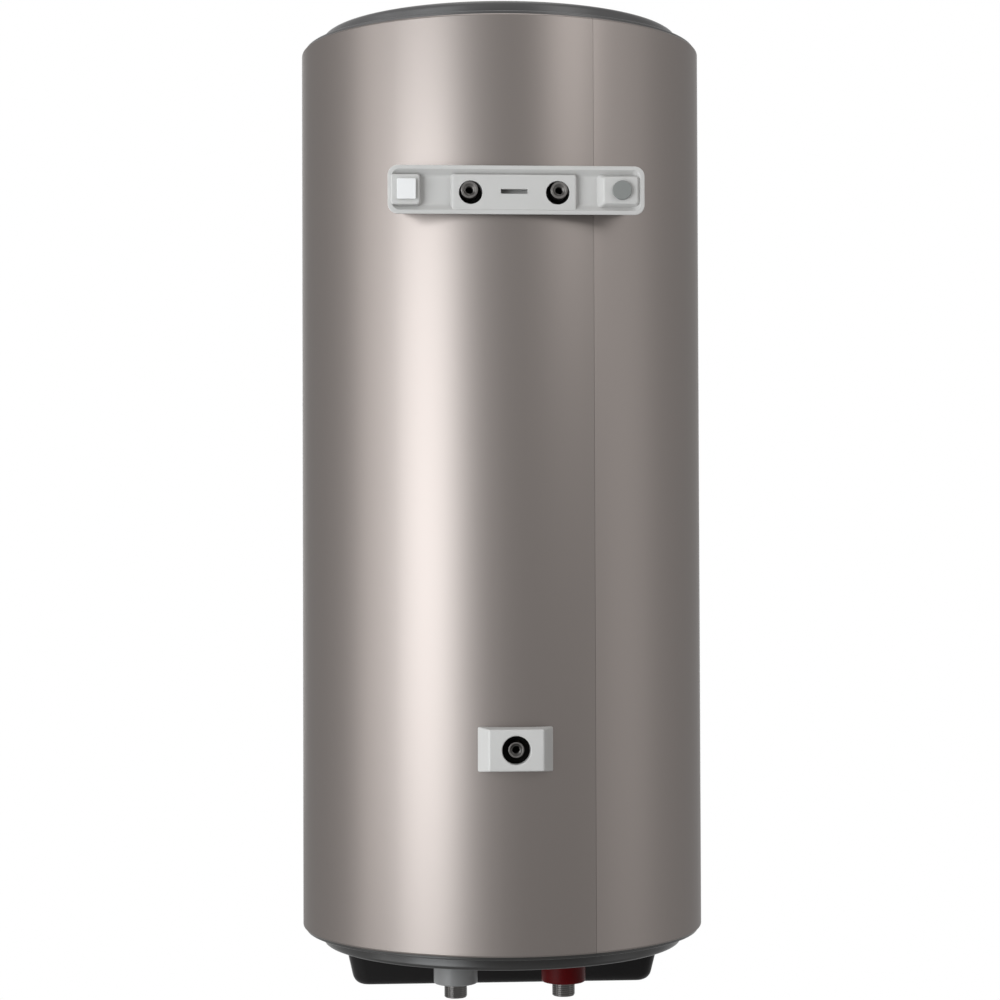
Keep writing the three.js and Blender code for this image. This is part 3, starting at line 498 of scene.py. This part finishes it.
casing = turned([
    (TURNED_IN, casing_low.z), (casing_radius, casing_low.z, OUTER_BEND),
    (casing_radius, casing_high.z, OUTER_BEND), (TURNED_IN, casing_high.z),
    (TURNED_IN, casing_high.z - SHEET), (casing_radius - SHEET, casing_high.z - SHEET, INNER_BEND),
    (casing_radius - SHEET, casing_low.z + SHEET, INNER_BEND), (TURNED_IN, casing_low.z + SHEET),
], steps=359, sweep=tau - SEAM_GAP / casing_radius, start=SEAM_BEARING + SEAM_GAP / casing_radius / 2)
boss_place = middle("lower_boss")
gauge_place = middle("thermometer_case")
casing = carve(
    stand(casing, axis),
    tray_outline(0.0002, 0.008),
    stand(plug(BOSS_WAY, 0, 0.06, steps=48), (boss_place.x, -0.05, boss_place.z), TO_WALL),
    stand(plug(GAUGE_WAY, 0, 0.06, steps=48), (0, -0.36, gauge_place.z), TO_ROOM),
)
lap_inner, lap_outer = casing_radius - 2 * SHEET, casing_radius - SHEET - 0.00005
lap_low, lap_high = casing_low.z + LAP_SHORT, casing_high.z - LAP_SHORT
lap = turned([
    (lap_inner, lap_low), (lap_outer, lap_low), (lap_outer, lap_high), (lap_inner, lap_high),
], steps=6, sweep=LAP_SPREAD, start=SEAM_BEARING - LAP_SPREAD / 2)

# The sheet is satin, with a fine metallic flake. Its colour also carries painted shade: it darkens towards
# the seam on one side of it, standing in for the darker reflection there.
FLAKE_COLOUR = (0.170, 0.151, 0.141, 1)
SHADE_REACH = radians(36)
PAINTED_SHADE_DEPTH = 0.15
champagne = Finish(
    "champagne_sheet", (0.156, 0.139, 0.130, 1), 0.40, metallic=1.0, specular_tint=(0.59, 0.59, 0.59, 1),
    coat_weight=0.12, coat_roughness=0.54,
)
flaked = champagne.noise(2600.0, detail=2.0).blend(champagne.colour, FLAKE_COLOUR)
from_axis = champagne.start.node(
    "ShaderNodeVectorMath", {"operation": "SUBTRACT"}, {0: champagne.place, 1: axis},
)
right, back = from_axis.node("ShaderNodeSeparateXYZ", {}, {0: from_axis}).outputs("X", "Y")
round_angle = back.maths("ARCTAN2", back, right)
shade_towards_seam = round_angle.node(
    "ShaderNodeMapRange", {"interpolation_type": "SMOOTHSTEP"},
    {"Value": round_angle, "From Min": SEAM_BEARING - SHADE_REACH, "From Max": SEAM_BEARING - SHADE_REACH / 2},
)
# Painted shade: the base colour goes darker in a band beside the seam, on one side of it only.
painted_shade = shade_towards_seam * round_angle.maths("LESS_THAN", round_angle, SEAM_BEARING) * PAINTED_SHADE_DEPTH
champagne.feed("Base Color", painted_shade.blend(flaked, (0, 0, 0, 1)))
rolling_marks = champagne.noise(7.0, stretch=(1, 1, 0.15))
champagne.vary_roughness(rolling_marks, 0.03)
champagne.bump(champagne.noise(60.0), 0.00003)
finished("casing_sheet", gather(casing, stand(lap, axis)), champagne.material, "casing", "outer_casing")


# ---- lids ----
# Injection-moulded discs in dark grey, the bottom one with holes for the neck and the two pipes.
# Each steps out from a flange on the casing's turned-in edge, and a skirt inside that edge holds it.

lid_grey = moulded("lid_grey", srgb(68, 67, 67), srgb(60, 59, 59), 0.34, specular_ior_level=0.35)
# The bottom lid is the same grey plastic as the top one; its colour is painted darker for the shade it lies
# in under the casing.
lid_painted_shade = moulded("lid_painted_shade", srgb(28, 27, 26), srgb(24, 23, 22), 0.32, specular_ior_level=0.35)
top_low, top_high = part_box("top_lid")
bottom_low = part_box("bottom_lid")[0]
LID_RADIUS = 0.173
FLANGE_RADIUS = (top_high.x - top_low.x) / 2
FLANGE_BACK, FLANGE_FRONT = 0.0003, 0.0028
SKIRT_OUTER, SKIRT_INNER, SKIRT_END = 0.187, 0.1845, -0.01
LID_WALL = 0.0025
NECK_WAY, PIPE_WAY = 0.064, 0.0113


def lid_profile(step, edge, waist=0.0):
    """From the middle of the lid's face out over its step, and back under the casing's edge.

    The edge is rounded, and under it the step can draw in to a waist.
    """
    return [
        (0, step), (LID_RADIUS, step, edge), (LID_RADIUS - waist * 0.2, step - edge - 0.001),
        (LID_RADIUS - waist * 0.7, step - edge - 0.004), (LID_RADIUS - waist, step - edge - 0.007),
        (LID_RADIUS - waist, FLANGE_FRONT, 0.0012), (FLANGE_RADIUS, FLANGE_FRONT, 0.0008),
        (FLANGE_RADIUS, FLANGE_BACK), (SKIRT_OUTER, FLANGE_BACK), (SKIRT_OUTER, SKIRT_END),
        (SKIRT_INNER, SKIRT_END), (SKIRT_INNER, FLANGE_BACK), (LID_RADIUS - LID_WALL, FLANGE_BACK),
        (LID_RADIUS - LID_WALL, step - LID_WALL, 0.0015), (0, step - LID_WALL),
    ]


top_lid = turned(lid_profile(top_high.z - casing_high.z, 0.004), steps=180)
stand(top_lid, axis + Vector((0, 0, casing_high.z)))
finished("top_lid_moulding", top_lid, lid_grey, "lid_grey", "top_lid")

bottom_lid = turned(lid_profile(casing_low.z - bottom_low.z, 0.003, waist=0.0015), steps=180)
bmesh.ops.rotate(bottom_lid, verts=bottom_lid.verts, cent=(0, 0, 0), matrix=Matrix.Rotation(pi, 3, "X"))
stand(bottom_lid, axis + Vector((0, 0, casing_low.z)))
neck = middle("flange_plate")
lid_holes = [stand(plug(NECK_WAY, 0, 0.03, steps=72), (neck.x, neck.y, bottom_low.z - 0.004))]
for pipe in ("cold_inlet_pipe", "hot_outlet_pipe"):
    place = middle(pipe)
    lid_holes.append(stand(plug(PIPE_WAY, 0, 0.03, steps=32), (place.x, place.y, bottom_low.z - 0.004)))
finished("bottom_lid_moulding", carve(bottom_lid, *lid_holes), lid_painted_shade, "lid_grey", "bottom_lid")


# ---- hanger tray ----
# A pale moulding let into the casing. Its towers carry the two wall pads, and its raised panel
# has the two boss holes and a slot between them. It is held by the bosses behind it.

pale = moulded("pale_plastic", srgb(173, 172, 170), srgb(165, 164, 162), 0.5, grain=1100.0, depth=0.00002)
TRAY_RIM = 0.0035
TRAY_FLOOR_Y = -0.0105
UNDER_FLOOR_Y = TRAY_FLOOR_Y - 0.001
PANEL_Y = -0.005
PAD_BASE_Y = -0.0033
TOWER_OUT = 0.001
HOLE_RADIUS, HOLE_CHAMFER = 0.0105, 0.0008
HOLE_DROP = 0.0022
HOLE_NEARER = 0.0012
SLOT_WIDE, SLOT_TALL, SLOT_BACK_Y, SLOT_DROP = 0.024, 0.0043, -0.0155, 0.00125
TRAY_BACK_RADIUS = 0.1865
square_place, round_place = middle("square_wall_pad"), middle("round_wall_pad")
basin = tapered(
    (tray_size.x - 2 * TRAY_RIM, tray_size.z - 2 * TRAY_RIM, TRAY_RIM_Y + 0.0002),
    (tray_size.x - 0.015, tray_size.z - 0.018, TRAY_FLOOR_Y),
    0.006, centre=(tray_middle.x, 0), corners=6, back_soft=0.002,
)
tray = carve(tray_outline(0, 0.009, soft=0.0011), basin)
panel = tapered(
    (0.110, 0.032, PANEL_Y), (0.114, 0.035, UNDER_FLOOR_Y), 0.002, soft=0.0008, centre=(0, -HOLE_DROP),
)
left_tower = tapered(
    (0.0255, 0.0265, PAD_BASE_Y), (0.028, 0.0295, UNDER_FLOOR_Y), 0.0025,
    soft=0.0012, centre=(square_place.x + TOWER_OUT, 0),
)
right_tower = tapered(
    (0.030, 0.0235, PAD_BASE_Y), (0.043, 0.032, UNDER_FLOOR_Y), 0.002,
    soft=0.0009, centre=(round_place.x + TOWER_OUT, 0),
)
tray = carve(tray, panel, left_tower, right_tower, operation="UNION")

# Each hole has a chamfered mouth, and stands a little below its boss and nearer to the middle.
boss_holes = []
for boss in ("hanger_boss_1", "hanger_boss_2"):
    place = middle(boss)
    nearer = place.x - HOLE_NEARER if place.x > 0 else place.x + HOLE_NEARER
    hole = turned([
        (0, -0.012), (HOLE_RADIUS, -0.012), (HOLE_RADIUS, 0.0113), (HOLE_RADIUS + HOLE_CHAMFER, 0.0121),
        (HOLE_RADIUS + HOLE_CHAMFER, 0.02), (0, 0.02),
    ], steps=64)
    boss_holes.append(stand(hole, (nearer, -0.0165, place.z - HOLE_DROP), TO_WALL))
slot_cut = tapered(
    (SLOT_WIDE, SLOT_TALL, 0.001), (SLOT_WIDE, SLOT_TALL, SLOT_BACK_Y), 0.0006, centre=(0, -SLOT_DROP),
)
bulk = stand(plug(TRAY_BACK_RADIUS, 0, 0.08, steps=180), axis + Vector((0, 0, -0.04)))
tray = carve(carve(tray, bulk), *boss_holes, slot_cut)
finished("tray_moulding", tray, pale, "pale_plastic", "hanger_tray")


# ---- wall pads ----
# The two feet that rest on the wall, a square one in white foam and a round one in grey rubber.
# Both are cut from sheet and stuck on the tray's towers.

white = moulded("white_pad", srgb(206, 206, 206), srgb(198, 198, 198), 0.7, grain=700.0, depth=0.00006)
pad_low, pad_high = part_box("square_wall_pad")
pad_size = pad_high - pad_low
square_pad = tapered(
    (pad_size.x, pad_size.z, pad_high.y), (pad_size.x, pad_size.z, pad_low.y), 0.0012,
    soft=0.0005, centre=(square_place.x, square_place.z),
)
finished("square_pad_soft", square_pad, white, "white_plastic", "square_wall_pad")

PAD_RADIUS, PAD_THICK = 0.0086, 0.003
grey_rubber = moulded(
    "grey_rubber", srgb(112, 114, 112), srgb(102, 104, 102), 0.65, grain=600.0, depth=0.00005,
)
round_pad = turned([(0, 0), (PAD_RADIUS, 0), (PAD_RADIUS, PAD_THICK, 0.0005), (0, PAD_THICK)], steps=64)
stand(round_pad, (round_place.x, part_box("round_wall_pad")[0].y, round_place.z), TO_WALL)
finished("round_pad_soft", round_pad, grey_rubber, "mid_grey_plastic", "round_wall_pad")


# ---- lower spacer ----
# A pale moulded block that keeps the bottom of the heater off the wall.
# Its back is shaped to the casing, and the lower boss, sunk in its hole, holds it.

SPACER_HOLE = 0.01275
CASING_FIT = 0.0003
spacer_z = middle("lower_spacer").z


def casing_round(z):
    """The casing's round at a height, which shapes the back of a piece that lies on it."""
    return stand(plug(casing_radius + CASING_FIT, 0, 0.08, steps=360), axis + Vector((0, 0, z - 0.04)))


spacer = tapered((0.049, 0.037, 0.0), (0.0786, 0.042, -0.024), 0.0015, soft=0.0012, centre=(0, spacer_z))
spacer_hole = turned([
    (0, -0.04), (SPACER_HOLE, -0.04), (SPACER_HOLE, 0.0), (0.0135, 0.0008), (0.0135, 0.01), (0, 0.01),
], steps=72)
stand(spacer_hole, (0, -0.0007, spacer_z), TO_WALL)
spacer = carve(carve(spacer, casing_round(spacer_z)), spacer_hole)
finished("spacer_moulding", spacer, pale, "pale_plastic", "lower_spacer")


# ---- pipes and rings ----
# Two plated steel pipes with half-inch threads cut on their ends: cold in, and hot out.
# A grey plastic ring marks the cold one and a red ring the hot one; they are pushed on up to the lid.

pipe_low, pipe_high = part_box("cold_inlet_pipe")
PIPE_RADIUS = (pipe_high.x - pipe_low.x) / 2
PIPE_BORE, PIPE_CHAMFER = 0.008, 0.0006
PIPE_PITCH, PIPE_TOOTH = 0.00181, 0.0006
THREAD_LENGTH = 0.0225
chrome = metal("chrome", srgb(190, 188, 184), srgb(160, 158, 154), 0.16, 300.0, (1, 1, 0.3))
pipe_steel = metal("pipe_steel", srgb(78, 76, 75), srgb(68, 67, 66), 0.19, 240.0, (1, 1, 0.3))


def threaded_pipe(node):
    """A pipe whose lower end is cut with a thread, with a chamfered mouth."""
    low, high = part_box(node)
    root = PIPE_RADIUS - 0.0005
    length = high.z - low.z
    body = turned([
        (PIPE_BORE, PIPE_CHAMFER), (PIPE_BORE + PIPE_CHAMFER, 0), (root - 0.0004, 0), (root, 0.0005),
        (root, THREAD_LENGTH), (PIPE_RADIUS, THREAD_LENGTH + 0.0015), (PIPE_RADIUS, length),
        (PIPE_BORE, length),
    ], steps=64)
    screw = thread(PIPE_RADIUS, PIPE_PITCH, PIPE_TOOTH, THREAD_LENGTH, steps=64, flat=0.76)
    centre = (low + high) / 2
    return stand(gather(body, stand(screw, (0, 0, 0.0004))), (centre.x, centre.y, low.z))


for pipe in ("cold_inlet_pipe", "hot_outlet_pipe"):
    finished(pipe + "_threaded", threaded_pipe(pipe), pipe_steel, "chrome", pipe)

RING_BORE = 0.0111
ring_grey = moulded("ring_grey", srgb(108, 108, 107), srgb(96, 96, 96), 0.42, specular_ior_level=0.35)
ring_red = moulded("ring_red", srgb(72, 2, 4), srgb(60, 1, 3), 0.4, specular_ior_level=0.06)
for ring, material, slot in (("cold_ring", ring_grey, "ring_grey"), ("hot_ring", ring_red, "ring_red")):
    low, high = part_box(ring)
    radius, height = (high.x - low.x) / 2, high.z - low.z - 0.0004
    collar = turned([
        (RING_BORE, 0.0006, 0.0003), (0.0125, 0), (radius, 0, 0.0015), (radius, height), (RING_BORE, height),
    ], steps=72)
    stand(collar, ((low.x + high.x) / 2, (low.y + high.y) / 2, low.z))
    finished(ring + "_moulding", collar, material, slot, ring)

dress("inlet_diffuser", white)


# ---- flange and what it carries ----
# A plated disc bolted to the neck over a black seal, with the two elements, the anode, the thermowell,
# the cut-out with its red reset button, and the earth stud.

zinc = metal("zinc_plate", srgb(178, 178, 174), srgb(150, 152, 152), 0.38, 140.0, depth=0.00004)
copper = metal("copper_sheath", srgb(196, 128, 88), srgb(168, 100, 66), 0.32, 220.0, (1, 1, 0.15))
magnesium = metal("magnesium", srgb(172, 173, 172), srgb(148, 149, 150), 0.55, 90.0, depth=0.0001)
seal_black = moulded("seal_black", srgb(30, 30, 30), srgb(22, 22, 22), 0.8)
black_plastic = moulded("black_plastic", srgb(27, 26, 26), srgb(23, 22, 22), 0.36, specular_ior_level=0.06)
switch_red = moulded("switch_red", srgb(176, 24, 20), srgb(158, 18, 16), 0.34, specular_ior_level=0.25)
for node in ("flange_plate", "earth_stud", *(f"flange_bolt_{n}" for n in range(1, 6))):
    dress(node, zinc)
for node in ("heating_element_long", "heating_element_short", "thermowell", "thermostat_capillary"):
    dress(node, copper)
dress("anode_rod", magnesium)
dress("flange_gasket", seal_black)
dress("thermal_cutout", black_plastic)
dress("reset_button", switch_red)


# ---- service cover ----
# A black moulded tray under the bottom lid, straight at the back behind the pipes and flat in front
# for the controls. Four screws through its posts hold it.

cover_low, cover_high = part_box("service_cover")
cover_depth = cover_high.z - cover_low.z
COVER_RADIUS = 0.1525
REAR = cover_high.y - axis.y
FRONT = axis.y - cover_low.y
REAR_CORNER, FRONT_CORNER = 0.0135, 0.006
DRAFT = 0.06
COVER_WALL = 0.0025
COVER_EDGE, COVER_INNER_EDGE = 0.008, 0.006
POST_RADIUS = 0.006
HEAD_RADIUS, SHANK_RADIUS = 0.0042, 0.002
GLAND_RADIUS, GLAND_NECK = 0.013, 0.0095
HOLE_FIT = 0.0004
SHAFT_WAY, LAMP_WAY = 0.0036, 0.0044
SWITCH_WIDE, SWITCH_TALL = 0.0176, 0.0226


def lift(form, height):
    """Turns a flat face into a closed body of this height."""
    lifted = bmesh.ops.extrude_face_region(form, geom=form.faces[:])["geom"]
    verts = [part for part in lifted if isinstance(part, bmesh.types.BMVert)]
    bmesh.ops.translate(form, verts=verts, vec=(0, 0, height))
    bmesh.ops.recalc_face_normals(form, faces=form.faces)


def cover_form(inset, low, high, edge):
    """The cover's outline as a closed body: its lower edge rounded, its sides drafted, its front upright."""
    form = bmesh.new()
    bmesh.ops.create_circle(form, cap_ends=True, radius=COVER_RADIUS - inset, segments=160)
    for place, direction in (((0, REAR - inset, 0), (0, 1, 0)), ((0, inset - FRONT, 0), (0, -1, 0))):
        bmesh.ops.bisect_plane(
            form, geom=form.verts[:] + form.edges[:] + form.faces[:],
            plane_co=place, plane_no=direction, clear_outer=True,
        )
    for y, size in ((REAR - inset, REAR_CORNER - inset), (inset - FRONT, FRONT_CORNER)):
        corners = [v for v in form.verts if abs(v.co.y - y) < 1e-6]
        beside = [
            v for v in form.verts
            if v not in corners and min((v.co - c.co).length for c in corners) < size * 1.05
        ]
        bmesh.ops.dissolve_verts(form, verts=beside)
        corners = [v for v in form.verts if abs(v.co.y - y) < 1e-6]
        bmesh.ops.bevel(
            form, geom=corners, affect="VERTICES", offset=size, segments=12, profile=0.5, material=-1,
        )
    lift(form, high - low)
    rim = [e for e in form.edges if all(v.co.z < 1e-6 for v in e.verts)]
    bmesh.ops.bevel(form, geom=rim, affect="EDGES", offset=edge, segments=6, profile=0.5, material=-1)
    for vert in form.verts:
        narrowed = 1 - DRAFT * (cover_high.z - low - vert.co.z) / cover_depth
        vert.co.x *= narrowed
        vert.co.y = (vert.co.y + FRONT) * narrowed - FRONT
    return stand(form, axis + Vector((0, 0, low)))


cover = carve(
    cover_form(0, cover_low.z, cover_high.z, COVER_EDGE),
    cover_form(COVER_WALL, cover_low.z + COVER_WALL, cover_high.z + 0.01, COVER_INNER_EDGE),
)
screws = [f"cover_screw_{n}" for n in range(1, 5)]
head_way, shank_way = HEAD_RADIUS + HOLE_FIT, SHANK_RADIUS + HOLE_FIT
posts, screw_ways = [], []
for screw in screws:
    place = middle(screw)
    post = plug(POST_RADIUS, 0, cover_depth - 0.001, steps=32)
    posts.append(stand(post, (place.x, place.y, cover_low.z + 0.001)))
    way = turned([
        (0, -0.001), (head_way + 0.0004, -0.001), (head_way, 0.0003), (head_way, 0.004), (shank_way, 0.004),
        (shank_way, 0.05), (0, 0.05),
    ], steps=32)
    screw_ways.append(stand(way, (place.x, place.y, cover_low.z)))
cover = carve(cover, *posts, operation="UNION")

# The front is open for the thermostat's shaft, the lamp and the two switches, the bottom for the gland.
gland_place = middle("cable_gland")
gland_way = turned([
    (0, -0.001), (GLAND_RADIUS + HOLE_FIT, -0.001), (GLAND_RADIUS + HOLE_FIT, 0.0014),
    (GLAND_NECK + HOLE_FIT, 0.0014), (GLAND_NECK + HOLE_FIT, 0.006), (0, 0.006),
], steps=48)
stand(gland_way, (gland_place.x, gland_place.y, cover_low.z))
knob_place, lamp_place = middle("thermostat_knob"), middle("indicator_lamp")
control_z = knob_place.z
front_holes = [
    stand(plug(radius, -0.004, 0.004, steps=32), (place.x, cover_low.y, control_z), TO_ROOM)
    for place, radius in ((knob_place, SHAFT_WAY), (lamp_place, LAMP_WAY))
]
for side in ("left", "right"):
    front_holes.append(tapered(
        (SWITCH_WIDE, SWITCH_TALL, cover_low.y + 0.004), (SWITCH_WIDE, SWITCH_TALL, cover_low.y - 0.001),
        0.001, centre=(middle(side + "_switch_housing").x, control_z),
    ))
cover = carve(cover, *screw_ways, gland_way, *front_holes)
finished("cover_moulding", cover, black_plastic, "black_plastic", "service_cover")


# ---- cover screws and gland ----
# Four plated cross-head screws, turned up through the cover's posts.
# The black gland is pressed into the bottom; its hole takes the mains lead, and no lead is fitted.

for screw in screws:
    low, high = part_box(screw)
    centre = (low + high) / 2
    length = high.z - low.z
    head = turned([
        (0, 0.0004), (0.0022, 0), (HEAD_RADIUS, 0.0011, 0.0004), (HEAD_RADIUS, 0.0026),
        (SHANK_RADIUS, 0.0026), (SHANK_RADIUS, length), (0, length),
    ], steps=40)
    for turn in (0, pi / 2):
        blade = tapered((0.0052, 0.0022, 0.0005), (0.0040, 0.0010, -0.0005), 0.0001)
        bmesh.ops.rotate(blade, verts=blade.verts, cent=(0, 0, 0), matrix=Matrix.Rotation(turn, 3, "Z"))
        head = carve(head, blade)
    finished(screw + "_head", stand(head, (centre.x, centre.y, low.z)), zinc, "zinc", screw)

GLAND_BORE = 0.0056
gland_low, gland_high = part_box("cable_gland")
gland_height = gland_high.z - gland_low.z
gland = turned([
    (GLAND_BORE, 0.0004), (GLAND_BORE + 0.0006, 0), (GLAND_RADIUS, 0, 0.0005), (GLAND_RADIUS, 0.0011),
    (GLAND_NECK, 0.0011), (GLAND_NECK, gland_height), (GLAND_BORE, gland_height),
], steps=64)
stand(gland, (gland_place.x, gland_place.y, gland_low.z))
finished("gland_moulding", gland, black_plastic, "black_plastic", "cable_gland")


# ---- wiring ----
# The white terminal block is screwed down inside the cover. From it run three wires
# in coloured insulation: live, neutral and earth.

dress("terminal_block", white)
for node, colour, shade in (
    ("live_wire", srgb(107, 63, 34), srgb(92, 52, 28)),
    ("neutral_wire", srgb(47, 95, 168), srgb(40, 82, 150)),
    ("earth_wire", srgb(95, 154, 58), srgb(196, 190, 60)),
):
    dress(node, moulded(node + "_insulation", colour, shade, 0.5))


# ---- thermostat ----
# A capillary thermostat behind the cover's front, turned by a fluted dark knob with a white pointer.
# The pale ring round the knob is printed with seven marks.

dress("thermostat_body", white)
dress("thermostat_shaft", zinc)


def from_centre(finish, centre):
    """How far a point of a face turned to the room lies from a centre, to the right and up."""
    offset = finish.start.node(
        "ShaderNodeVectorMath", {"operation": "SUBTRACT"}, {0: finish.place, 1: centre},
    )
    return offset.node("ShaderNodeSeparateXYZ", {}, {0: offset}).outputs("X", "Z")


def distance(across, up):
    """How far that point lies from the centre."""
    return across.maths("SQRT", across * across + up * up)


def within(strand, low, high):
    """1 where the strand lies between two values, 0 elsewhere."""
    return strand.maths("GREATER_THAN", strand, low) * strand.maths("LESS_THAN", strand, high)


def dial_marks(finish, centre, inner, outer, apart, sweep, wide):
    """Marks printed round a centre, apart degrees from each other, over the sweep to each side of the top."""
    across, up = from_centre(finish, centre)
    turn = across.maths("ARCTAN2", across, up)
    radius = distance(across, up)
    beside = turn.maths("PINGPONG", turn, radians(apart / 2)) * radius
    swept = turn.maths("LESS_THAN", turn.maths("ABSOLUTE", turn), radians(sweep + apart / 4))
    return within(radius, inner, outer) * turn.maths("LESS_THAN", beside, wide / 2) * swept


def printed(name, colour, roughness):
    """A smooth moulding in one colour, which marks are then printed on."""
    made = Finish(name, colour, roughness, specular_ior_level=0.3)
    made.vary_roughness(made.noise(45.0), 0.05)
    made.bump(made.noise(1100.0, detail=2.0), 0.00002)
    return made


INK_BLACK, INK_WHITE = srgb(24, 24, 24), srgb(226, 226, 224)
POINTER_TURN = radians(135)
POINTER_WIDE = 0.0014
KNOB_RADIUS, KNOB_HEIGHT = 0.0132, 0.012
FLUTES, FLUTE_DEPTH = 12, 0.042
knob = bmesh.new()
bmesh.ops.create_circle(knob, cap_ends=True, radius=KNOB_RADIUS, segments=FLUTES * 8)
for vert in knob.verts:
    vert.co *= 1 + FLUTE_DEPTH * cos(atan2(vert.co.y, vert.co.x) * FLUTES)
lift(knob, KNOB_HEIGHT)
crown = [e for e in knob.edges if all(v.co.z > KNOB_HEIGHT - 0.0001 for v in e.verts)]
bmesh.ops.bevel(knob, geom=crown, affect="EDGES", offset=0.0009, segments=3, profile=0.5, material=-1)
groove = tapered((POINTER_WIDE, 0.0022, 0.014), (POINTER_WIDE, 0.0022, 0.005), 0.0003)
bmesh.ops.translate(groove, verts=groove.verts, vec=(0, 0, 0.0121))
knob = carve(knob, groove)
bmesh.ops.rotate(knob, verts=knob.verts, cent=(0, 0, 0), matrix=Matrix.Rotation(POINTER_TURN, 3, "Z"))
stand(knob, (knob_place.x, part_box("thermostat_knob")[1].y, control_z), TO_ROOM)
knob_dark = printed("knob_dark", srgb(46, 46, 47), 0.4)
across, up = from_centre(knob_dark, (knob_place.x, 0, control_z))
along = across * -sin(POINTER_TURN) + up * cos(POINTER_TURN)
beside = across * cos(POINTER_TURN) + up * sin(POINTER_TURN)
pointer = within(along, 0.0050, 0.0118) * within(beside, -POINTER_WIDE / 2, POINTER_WIDE / 2)
knob_dark.mottle(pointer, INK_WHITE)
finished("knob_fluted", knob, knob_dark.material, "mid_grey_plastic", "thermostat_knob", body="knob")

DIAL_INNER, DIAL_OUTER = 0.0148, 0.0176
ring_print = printed("ring_print", srgb(196, 196, 195), 0.5)
ring_marks = dial_marks(
    ring_print, (knob_place.x, 0, control_z), DIAL_INNER + 0.0003, DIAL_OUTER - 0.0003,
    apart=45, sweep=135, wide=0.0009,
)
ring_print.mottle(ring_marks, INK_BLACK)
scale = turned([
    (DIAL_INNER, 0), (DIAL_OUTER, 0), (DIAL_OUTER, 0.001, 0.0003), (DIAL_INNER, 0.001, 0.0003),
], steps=72)
stand(scale, (knob_place.x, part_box("dial_ring")[1].y, control_z), TO_ROOM)
finished("dial_ring_moulding", scale, ring_print.material, "pale_plastic", "dial_ring")


# ---- switches and lamp ----
# Two rocker switches snapped into the cover's front: red rockers printed with a bar and a circle,
# in black frames. Beside them is an orange neon lens.

BAR_WIDE, BAR_LOW, BAR_HIGH = 0.001, 0.0030, 0.0068
CIRCLE_DROP, CIRCLE_INNER, CIRCLE_OUTER = 0.0050, 0.0014, 0.0022
for side in ("left", "right"):
    dress(side + "_switch_housing", black_plastic)
    rocker = printed(side + "_rocker_red", srgb(176, 24, 20), 0.34)
    across, up = from_centre(rocker, (middle(side + "_switch_rocker").x, 0, control_z))
    bar = within(across, -BAR_WIDE / 2, BAR_WIDE / 2) * within(up, BAR_LOW, BAR_HIGH)
    circle = within(distance(across, up + CIRCLE_DROP), CIRCLE_INNER, CIRCLE_OUTER)
    rocker.mottle(bar + circle, INK_WHITE)
    dress(side + "_switch_rocker", rocker.material)
lamp_orange = Finish("lamp_orange", srgb(230, 110, 45), 0.12, transmission_weight=0.35, coat_weight=0.5)
lamp_orange.mottle(lamp_orange.noise(300.0), srgb(214, 84, 28))
dress("indicator_lamp", lamp_orange.material)


# ---- thermometer ----
# A round gauge let into the casing's front: a black case, a white dial with black marks, and a black needle.
# The glass is held by a chromed bezel, pressed over the case.

dress("thermometer_case", black_plastic)
dress("thermometer_needle", black_plastic)
dial_white = printed("dial_white", srgb(240, 240, 237), 0.6)
dial_place = (gauge_place.x, 0, gauge_place.z)
MARKS_OUTER = 0.0172
long_marks = dial_marks(dial_white, dial_place, 0.0140, MARKS_OUTER, apart=40, sweep=120, wide=0.0008)
short_marks = dial_marks(dial_white, dial_place, 0.0155, MARKS_OUTER, apart=10, sweep=120, wide=0.0004)
dial_white.mottle(dial_white.start.maths("MAXIMUM", long_marks, short_marks), INK_BLACK)
dress("thermometer_dial", dial_white.material)
glass = Finish("clear_glass", (1, 1, 1, 1), 0.03, transmission_weight=1.0)
glass.vary_roughness(glass.noise(120.0), 0.01)
dress("thermometer_lens", glass.material)
BEZEL_RADIUS, BEZEL_BORE, BEZEL_HEIGHT, GLASS_LIP = 0.025, 0.0204, 0.008, 0.0186
bezel = turned([
    (BEZEL_BORE, 0), (BEZEL_RADIUS, 0), (BEZEL_RADIUS, 0.0054, 0.0008), (0.0232, BEZEL_HEIGHT, 0.0007),
    (0.0194, BEZEL_HEIGHT, 0.0005), (GLASS_LIP, 0.0069), (GLASS_LIP, 0.0061), (BEZEL_BORE, 0.0061),
], steps=96)
stand(bezel, (0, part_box("thermometer_bezel")[0].y + BEZEL_HEIGHT, gauge_place.z), TO_ROOM)
bezel = carve(bezel, casing_round(gauge_place.z))
finished("bezel_ring", bezel, chrome, "chrome", "thermometer_bezel")
